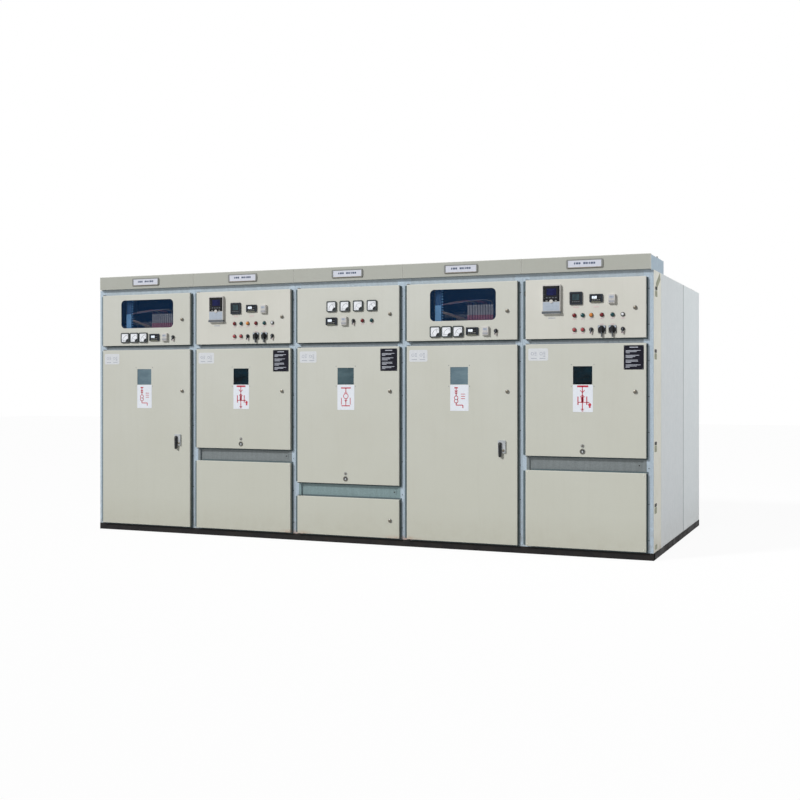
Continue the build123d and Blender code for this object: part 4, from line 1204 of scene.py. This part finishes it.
def terminals(piece, at, z0, split, z1, back):
    for k in range(terminal["count"]):
        u, wide = (k + 0.5) * terminal["pitch"], terminal["width"]
        piece.slab(at, u, (z0 + split) / 2, wide, split - z0, back, 0, "terminalPink")
        piece.slab(at, u, (split + z1) / 2, wide, z1 - split, back, -terminal["step"], "terminalGrey")
        piece.screw(at, u, z1 - terminal["screwDrop"], *terminal["screw"], "fittingSteel")


insides = Piece("instrument_wiring_ducts", "frame", "terminal_plastic")
for index in row["metering"]:
    x0, x1 = (cubicleX(index, v) for v in wiring["posts"])
    (z0, z1), (near, far) = wiring["rail"], wiring["railDepth"]
    at = frontAt((x0 + x1) / 2, postY, (z0 + z1) / 2)
    insides.slab(at, 0, 0, x1 - x0, z1 - z0, -far, -near, "darkSteel")
    x0, x1 = (cubicleX(index, v) for v in wiring["duct"])
    (z0, z1), wide = wiring["ductSpan"], x1 - x0
    at = frontAt((x0 + x1) / 2, postY, z0)
    front, lid, slot = -wiring["front"], wiring["lidTop"] - z0, wiring["slot"]
    # the duct body, which shows above the pale lower slab, is in the darker copy: painted shade on its upper
    # part
    insides.slab(at, 0, (z1 - z0) / 2, wide, z1 - z0, -near, front - wiring["ductBack"], "ductPaintedShade")
    insides.slab(at, 0, lid / 2, wide * wiring["lidShare"], lid, front - wiring["lidThick"], front, "ductBlue")
    for k in range(int((z1 - z0) / slot)):
        for side, finish in ((-1, "wireBeige"), (1, "ductBlue")):
            place = side * (wide + wiring["tooth"]) / 2, (k + 0.5) * slot
            tooth = wiring["tooth"], slot * wiring["toothShare"], *wiring["toothReach"]
            insides.slab(at, *place, *tooth, finish)
    at = frontAt(cubicleX(index, wiring["strip"]), postY + wiring["front"], 0)
    low, high = wiring["stripSpan"]
    terminals(insides, at, low, wiring["split"], high, wiring["front"] - near)
half, deep = wiring["deepStrip"]
for solid in solidsOf("terminal_rows"):
    middle = solid["mid"].z
    at = frontAt(solid["low"].x, solid["low"].y, 0)
    terminals(insides, at, middle - half, middle, middle + half, -deep)
insides.done()


def loom(name, runs, radius, finish):
    curve = bpy.data.curves.new(name, "CURVE")
    curve.dimensions, curve.bevel_depth, curve.bevel_resolution, curve.resolution_u = "3D", radius, 1, 6
    for points in runs:
        spline = curve.splines.new("BEZIER")
        spline.bezier_points.add(len(points) - 1)
        for made, point in zip(spline.bezier_points, points):
            made.co = point
            made.handle_left_type = made.handle_right_type = "AUTO"
    holder = bpy.data.objects.new(name, curve)
    mesh = bpy.data.meshes.new_from_object(holder)
    bpy.data.objects.remove(holder)
    mesh.name = name
    mesh.materials.clear()
    mesh.materials.append(finishes[finish])
    wires = bpy.data.objects.new(name, mesh)
    bpy.context.scene.collection.objects.link(wires)
    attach(wires, "frame")


# Wires bow from the duct to the head and the foot of each terminal
loomLook = {
    "wires": 10, "radius": 0.0022, "out": 0.318, "bow": 0.416, "high": 1.962, "low": 1.905, "deep": 0.012,
    "forward": 0.006, "sway": 0.008, "swing": 1.7, "order": ("Beige", "Red", "Blue"),
    "bowUp": 0.012, "bowDown": 0.030, "head": (0.012, 0.022), "foot": (0.016, 0.014), "into": 0.004,
}
runs = {"Beige": [], "Red": [], "Blue": []}
for index in row["metering"]:
    out, bow = cubicleX(index, loomLook["out"]), cubicleX(index, loomLook["bow"])
    y = postY + wiring["front"] + loomLook["deep"]
    (low, high), bowY = wiring["stripSpan"], y - loomLook["forward"]
    for k in range(loomLook["wires"]):
        x = cubicleX(index, wiring["strip"]) + (k + 0.5) * terminal["pitch"]
        sway, into = loomLook["sway"] * math.sin(k * loomLook["swing"]), loomLook["into"]
        (headIn, headUp), (footIn, footDown) = loomLook["head"], loomLook["foot"]
        upper = [(out, y, loomLook["high"] + sway), (bow, bowY, loomLook["high"] + loomLook["bowUp"] - sway)]
        upper += [(x - headIn, y, high + headUp + sway), (x, y, high - into)]
        lower = [(out, y, loomLook["low"] + sway), (bow, bowY, loomLook["low"] - loomLook["bowDown"] + sway)]
        lower += [(x - footIn, y, low - footDown + sway / 2), (x, y, low + into)]
        runs[loomLook["order"][k % 3]].append(upper if k % 3 else lower)
        runs[loomLook["order"][(k + 1) % 2]].append(lower if k % 3 else upper)
for tone, lines in runs.items():
    loom("instrument_wires_" + tone.lower(), lines, loomLook["radius"], "wire" + tone)
print("instrument wiring laid")

# Truck fronts: control panel, buttons, state windows and the charging socket
ringProfile = [(0.024, 0.004), (0.024, 0.008), (0.021, 0.009)]
capProfile = [(0.018, 0.009), (0.018, 0.014), (0.014, 0.017)]
truck = {
    "grip": 0.040, "recess": 0.012, "rise": 0.02,
    "face": [
        ("rounded", "palePlastic", (0, 0), (0.340, 0.300, 0.012, 0, 0.004)),
        ("lathe", "darkSteel", (-0.055, 0.080), (ringProfile, 20), 2, 0.110, 0),
        ("lathe", "buttonGreen", (-0.055, 0.080), (capProfile, 20)),
        ("lathe", "buttonRed", (0.055, 0.080), (capProfile, 20)),
        ("rounded", "blackGlass", (-0.080, 0), (0.070, 0.030, 0.004, 0.004, 0.006), 2, 0.160, 0),
        ("slab", "plateWhite", (-0.080, 0), (0.030, 0.014, 0.006, 0.0065)),
        ("slab", "lensGreen", (0.080, 0), (0.030, 0.014, 0.006, 0.0065)),
        ("rounded", "darkSteel", (0, -0.085), (0.060, 0.060, 0.008, 0.004, 0.007)),
        ("facet", "shadowBlack", (0, -0.085), ([(0.016, 0.007), (0.016, 0.010), (0.012, 0.011)], 6)),
        ("screw", "screwSteel", (-0.156, -0.136), (0.006, 10, 0.007), 2, 0.312, 0),
        ("screw", "screwSteel", (-0.156, 0.136), (0.006, 10, 0.007), 2, 0.312, 0),
    ],
    "bolts": [
        ("facet", "screwSteel", (-0.20, 0), ([(0.008, 0), (0.008, 0.005), (0.005, 0.007)], 6), 2, 0.40, 0),
    ],
    "boltShare": 0.30,
}
fronts = Piece("truck_fronts", "frame", "truck_grey")
for solid in solidsOf("trucks"):
    at = moved(frontOf(solid, truck["grip"] + truck["recess"]), 0, truck["rise"])
    fronts.draw(at, truck["face"])
    fronts.draw(moved(at, 0, solid["size"].z * truck["boltShare"]), truck["bolts"])
fronts.done()

# Rubber strips on the frame, which show past the sides and the foot of each door and cover, widened as painted
# shadow gaps beside and below them
gasketShadeStrip = {
    "wide": 0.014, "reach": (0, 0.0055), "footReach": (-0.010, 0.0055), "hingePast": 0.019, "past": 0.004,
    "foot": 0.012, "footFrom": 0.040, "short": 0.012,
}
sealShadeStrips = Piece("door_gasket_shade_strips", "frame", "black_plastic")
spans = [(*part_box(name), name == "cable_door_3") for name in doors]
spans += [(solid["low"], solid["high"], True) for solid in solidsOf("cable_covers")]
at, past = frontAt(0, postY, 0), gasketShadeStrip["past"]
for low, high, headed in spans:
    sizes = gasketShadeStrip["wide"], high.z - low.z - gasketShadeStrip["short"], *gasketShadeStrip["reach"]
    for u in (low.x - gasketShadeStrip["hingePast"], high.x + past):
        sealShadeStrips.slab(at, u, (low.z + high.z) / 2, *sizes, "gasketRubberShade")
    start, end = low.x + gasketShadeStrip["footFrom"], high.x + past + gasketShadeStrip["wide"] / 2
    for v in [low.z - past] + [high.z + past] * headed:
        sizes = end - start, gasketShadeStrip["foot"], *gasketShadeStrip["footReach"]
        sealShadeStrips.slab(at, (start + end) / 2, v, *sizes, "gasketRubberShade")
sealShadeStrips.done()
print("truck fronts and gaskets set")


# The share that the camera, mirrors and panes see white, and the rays
def seenWhite(tree):
    path = put(tree, "LightPath", {}).outputs
    seen = reckon(tree, "MAXIMUM", path["Is Camera Ray"], path["Is Glossy Ray"])
    return reckon(tree, "MAXIMUM", seen, path["Is Transmission Ray"]), path


# Floor, light and camera
stage = {"floor": 60.0, "white": 0.93, "paper": (0.92, 0.92, 0.92, 1.0), "bounce": (0.42, 0.42, 0.42, 1.0)}
bpy.ops.mesh.primitive_plane_add(size=stage["floor"], location=(0, 0, 0))
floor = bpy.context.object
floor.name = "studio_floor"
mat, tree, shader = newFinish("studioPaper", Roughness=0.9, Specular_IOR_Level=0.0)
seen, path = seenWhite(tree)
paper = blend(tree, path["Is Diffuse Ray"], stage["paper"], stage["bounce"])  # a duller floor lifts no shadows
feed(tree, shader, Base_Color=paper)
glow = put(tree, "Emission", {"Color": (1, 1, 1, 1), "Strength": 1.0}).outputs["Emission"]
mixed = put(tree, "MixShader", {0: times(tree, seen, stage["white"]), 1: shader.outputs["BSDF"], 2: glow})
feed(tree, tree.nodes["Material Output"], Surface=mixed.outputs["Shader"])
floor.data.materials.append(mat)

light = {
    "sky": 0.25, "key": 2.95, "keySpread": 8.0, "keyTurn": (57, 0, -41),
    "side": ((9.0, 1.0, 3.0), (2.5, 0, 1.1), 4.0, 245.0), "top": ((0, -1.0, 8.0), (0, 0, 1.0), 6.0, 80.0),
}
world = bpy.data.worlds.new("studio")
bpy.context.scene.world = world
world.use_nodes = True
tree = world.node_tree
tree.nodes.clear()
dim, white = (
    put(tree, "Background", {"Color": (1, 1, 1, 1), "Strength": level}).outputs[0]
    for level in (light["sky"], 1.0)
)
mixed = put(tree, "MixShader", {0: seenWhite(tree)[0], 1: dim, 2: white})
put(tree, "OutputWorld", {"Surface": mixed.outputs["Shader"]})


def softBox(name, place, target, size, power):
    lamp = bpy.data.lights.new(name, "AREA")
    lamp.shape, lamp.size, lamp.energy = "DISK", size, power
    holder = bpy.data.objects.new(name, lamp)
    holder.location = place
    holder.rotation_euler = (Vector(target) - Vector(place)).to_track_quat("-Z", "Y").to_euler()
    bpy.context.scene.collection.objects.link(holder)


sun = bpy.data.lights.new("key_light", "SUN")
sun.energy, sun.angle = light["key"], math.radians(light["keySpread"])
keyLight = bpy.data.objects.new("key_light", sun)
keyLight.rotation_euler = [math.radians(turn) for turn in light["keyTurn"]]
bpy.context.scene.collection.objects.link(keyLight)
softBox("side_light", *light["side"])
softBox("top_light", *light["top"])

view = {"place": (4.050, -9.751, 1.311), "turn": 22.65, "lens": 51.30, "rise": -0.0179, "sensor": 36.0}
cam = bpy.data.cameras.new("photo_camera")
cam.sensor_width, cam.sensor_height, cam.sensor_fit = view["sensor"], view["sensor"], "HORIZONTAL"
cam.lens, cam.shift_x, cam.shift_y = view["lens"], 0.0, view["rise"]
cam.clip_start, cam.clip_end = 0.1, 200.0
camera = bpy.data.objects.new("photo_camera", cam)
camera.location = view["place"]
camera.rotation_euler = (math.radians(90), 0, math.radians(view["turn"]))
bpy.context.scene.collection.objects.link(camera)
bpy.context.scene.camera = camera
bpy.context.scene.view_settings.view_transform = "Standard"
print("stage, light and camera set")
